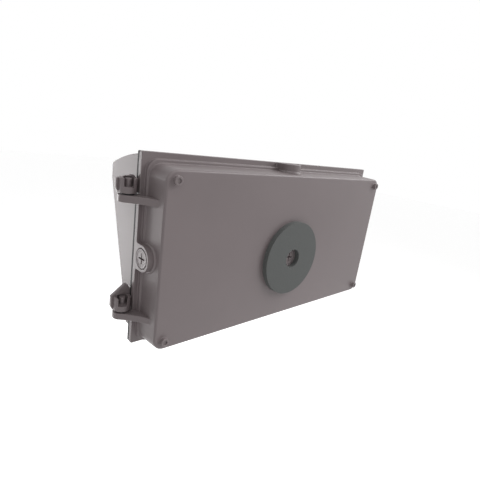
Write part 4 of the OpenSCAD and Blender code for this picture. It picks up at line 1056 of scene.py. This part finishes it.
def reflector():
    """White surround with a lip round the boards, holes over the tray screws and four posts."""
    whole = round_rectangle(REFLECTOR_W, REFLECTOR_TOP, -REFLECTOR_TOP, 8.0)
    frame_sheet = prism("reflector", whole, wall, REFLECTOR_REAR, REFLECTOR_FRONT, 0.2)
    lip = round_rectangle(OPENING_W + 2 * LIP_WALL, OPENING_TOP + LIP_WALL,
                          -OPENING_TOP - LIP_WALL, OPENING_R + LIP_WALL)
    joined = [prism("lip", lip, wall, TRAY_FRONT, REFLECTOR_FRONT - 0.1)]
    joined += [prism("post", circle(REFLECTOR_POST_R, x, z), wall, TRAY_FRONT, REFLECTOR_FRONT - 0.1)
               for x, z in REFLECTOR_POSTS]
    carve(frame_sheet, joined, "UNION")
    opening = round_rectangle(OPENING_W, OPENING_TOP, -OPENING_TOP, OPENING_R)
    edges = [(0, TRAY_FRONT - OVER)]
    edges += [(out, REFLECTOR_FRONT - deep) for out, deep in reversed(fillet(OPENING_EDGE_R))]
    edges.append((OPENING_EDGE_R, REFLECTOR_FRONT + OVER))
    cutters = [loft("opening", [[wall(x, z, c) for x, z in inset(opening, -out)]
                                for out, c in edges])]
    cutters += [bore(at_wall(x, z), SCREW_WINDOW_R, REFLECTOR_FRONT, TRAY_FRONT, 0.2)
                for x, z in TRAY_POSTS]
    cutters += [bore(at_wall(x, z), SMALL_HOLE_R, REFLECTOR_FRONT, TRAY_FRONT - OVER, 0.1, 24)
                for x, z in REFLECTOR_POSTS]
    # The output leads reach the upper board through a notch in the lip
    notch = box_outline(-157.0, -153.0, 30.0, 42.0)
    cutters.append(prism("notch", notch, wall, TRAY_FRONT - OVER, REFLECTOR_REAR))
    carve(frame_sheet, cutters)
    finish_piece(frame_sheet, "housing", REFLECTOR_WHITE, "reflector")


def led_chips():
    """White chip bodies, each with a yellow dome of phosphor."""
    bodies, domes = [], []
    for i in range(CHIPS_ALONG):
        x = (i - (CHIPS_ALONG - 1) / 2) * BOARD_L / CHIPS_ALONG
        for board in (-1, 1):
            for row in (-1, 1):
                put = at_wall(x, board * BOARD_Z + row * CHIP_ROW_Z)
                outline = round_rectangle(CHIP_W, CHIP_W / 2, -CHIP_W / 2, 0.4, 2)
                top = BOARD_FRONT + CHIP_T * 0.6
                bodies.append(prism("body", outline, put, BOARD_FRONT, top, 0.15))
                rise = BOARD_FRONT + CHIP_T - top
                domes.append(turned("dome", put, [
                    (2.0, top - SINK), (2.0, top), (1.85, top + rise * 0.35),
                    (1.5, top + rise * 0.7), (0.95, top + rise * 0.93), (0.3, top + rise)],
                    count=20))
    finish_piece(gather("chip_bodies", bodies), "housing", BOARD_WHITE, "led_chips")
    finish_piece(gather("chip_domes", domes), "housing", PHOSPHOR)


def gear_screws():
    rows = [(share * BOARD_L, z) for share in (-0.393, -0.107, 0.107, 0.393)
            for z in (-BOARD_Z, BOARD_Z)]
    foot_t = 1.2
    small_screws("tray_screws", TRAY_POSTS, TRAY_FRONT, 6.0)
    small_screws("board_screws", rows, BOARD_FRONT, 3.1)
    small_screws("reflector_screws", REFLECTOR_POSTS, REFLECTOR_FRONT, 6.0)
    small_screws("gear_screws", GEAR_PLACES, GEAR_BOSS_FRONT + foot_t, 5.4)


def jumper_leads():
    """Two round leads between the connectors of the boards."""
    leads = []
    for x in (-147.5, -144.5):
        leads.append(turned("lead", upright(x, BOARD_FRONT + 1.4),
                            [(0.9, -BOARD_Z + 5), (0.9, BOARD_Z - 5)], count=20))
    finish_piece(gather("jumper_leads", leads), "housing", RED_LEAD, "jumper_leads")


def dress(material, *names):
    """Gives carried nodes of the frame a material."""
    for name in names:
        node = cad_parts[name]
        node.data.materials.clear()
        node.data.materials.append(material)


lens()
lens_clips()
reflector()
led_chips()
gear_screws()
jumper_leads()
dress(NYLON, "surge_protector")
dress(ALUMINIUM, "driver_case", "driver_lid")
dress(POTTING, "driver_potting")
dress(SILICONE, "driver_bushings", "tray_grommet", "upper_latch_washer", "lower_latch_washer")
dress(IVORY, "terminal_block", "board_connectors")
dress(STEEL, "terminal_screws")
dress(GREEN_SCREW, "ground_screw")
dress(BLACK_LEAD, "supply_leads")
dress(RED_LEAD, "output_leads")
dress(GREEN_LEAD, "ground_lead")
dress(WHITE_SHEET, "led_tray")
dress(BOARD_WHITE, "led_boards")


# Stage and light

FLOOR_Z = -0.75
FLOOR_HALF = 9.0
FLOOR_GLOW = 0.65
AMBIENT = 0.32
LAMP_SIZE = 1.2
WHITE = (1.0, 1.0, 1.0, 1.0)


def seen_rays(tree):
    """1 for rays from the camera, mirrors or glass, and 0 for the rays that spread light."""
    path = tree.nodes.new("ShaderNodeLightPath")
    seen = math_node(tree, "MAXIMUM", path.outputs["Is Camera Ray"], path.outputs["Is Glossy Ray"])
    return math_node(tree, "MAXIMUM", seen, path.outputs["Is Transmission Ray"])


def stage_and_light():
    corners = box_outline(-FLOOR_HALF, FLOOR_HALF, -FLOOR_HALF, FLOOR_HALF)
    floor = mesh_piece("floor", lambda mesh: mesh.faces.new(
        [mesh.verts.new((x, y, FLOOR_Z)) for x, y in corners]))
    pale, tree, shader = plain_material("floor_pale", (0.9, 0.9, 0.9, 1.0), 0.9)
    shader.inputs["Emission Color"].default_value = WHITE
    glow = math_node(tree, "MULTIPLY", seen_rays(tree), FLOOR_GLOW)
    tree.links.new(glow, shader.inputs["Emission Strength"])
    floor.data.materials.append(pale)

    world = bpy.data.worlds.new("world")
    bpy.context.scene.world = world
    world.use_nodes = True
    tree = world.node_tree
    back = tree.nodes["Background"]
    back.inputs["Color"].default_value = WHITE
    strength = remap(tree, seen_rays(tree), 0, 1, AMBIENT, 1.0)
    tree.links.new(strength, back.inputs["Strength"])

    def soft_box(name, at, power):
        data = bpy.data.lights.new(name, "AREA")
        data.shape = "SQUARE"
        data.size = LAMP_SIZE
        data.energy = power
        lamp = bpy.data.objects.new(name, data)
        lamp.location = at
        lamp.rotation_euler = (-lamp.location).to_track_quat("-Z", "Y").to_euler()
        bpy.context.collection.objects.link(lamp)

    soft_box("side_box", (0.5, -1.7, -0.2), 19.5)
    soft_box("top_box", (0.2, 0.2, 1.8), 7.0)
    soft_box("rear_box", (-1.25, 0.8, 1.0), 21.0)
    soft_box("hinge_box", (1.2, 1.1, 0.7), 3.0)
    bpy.context.scene.view_settings.view_transform = "Standard"


stage_and_light()
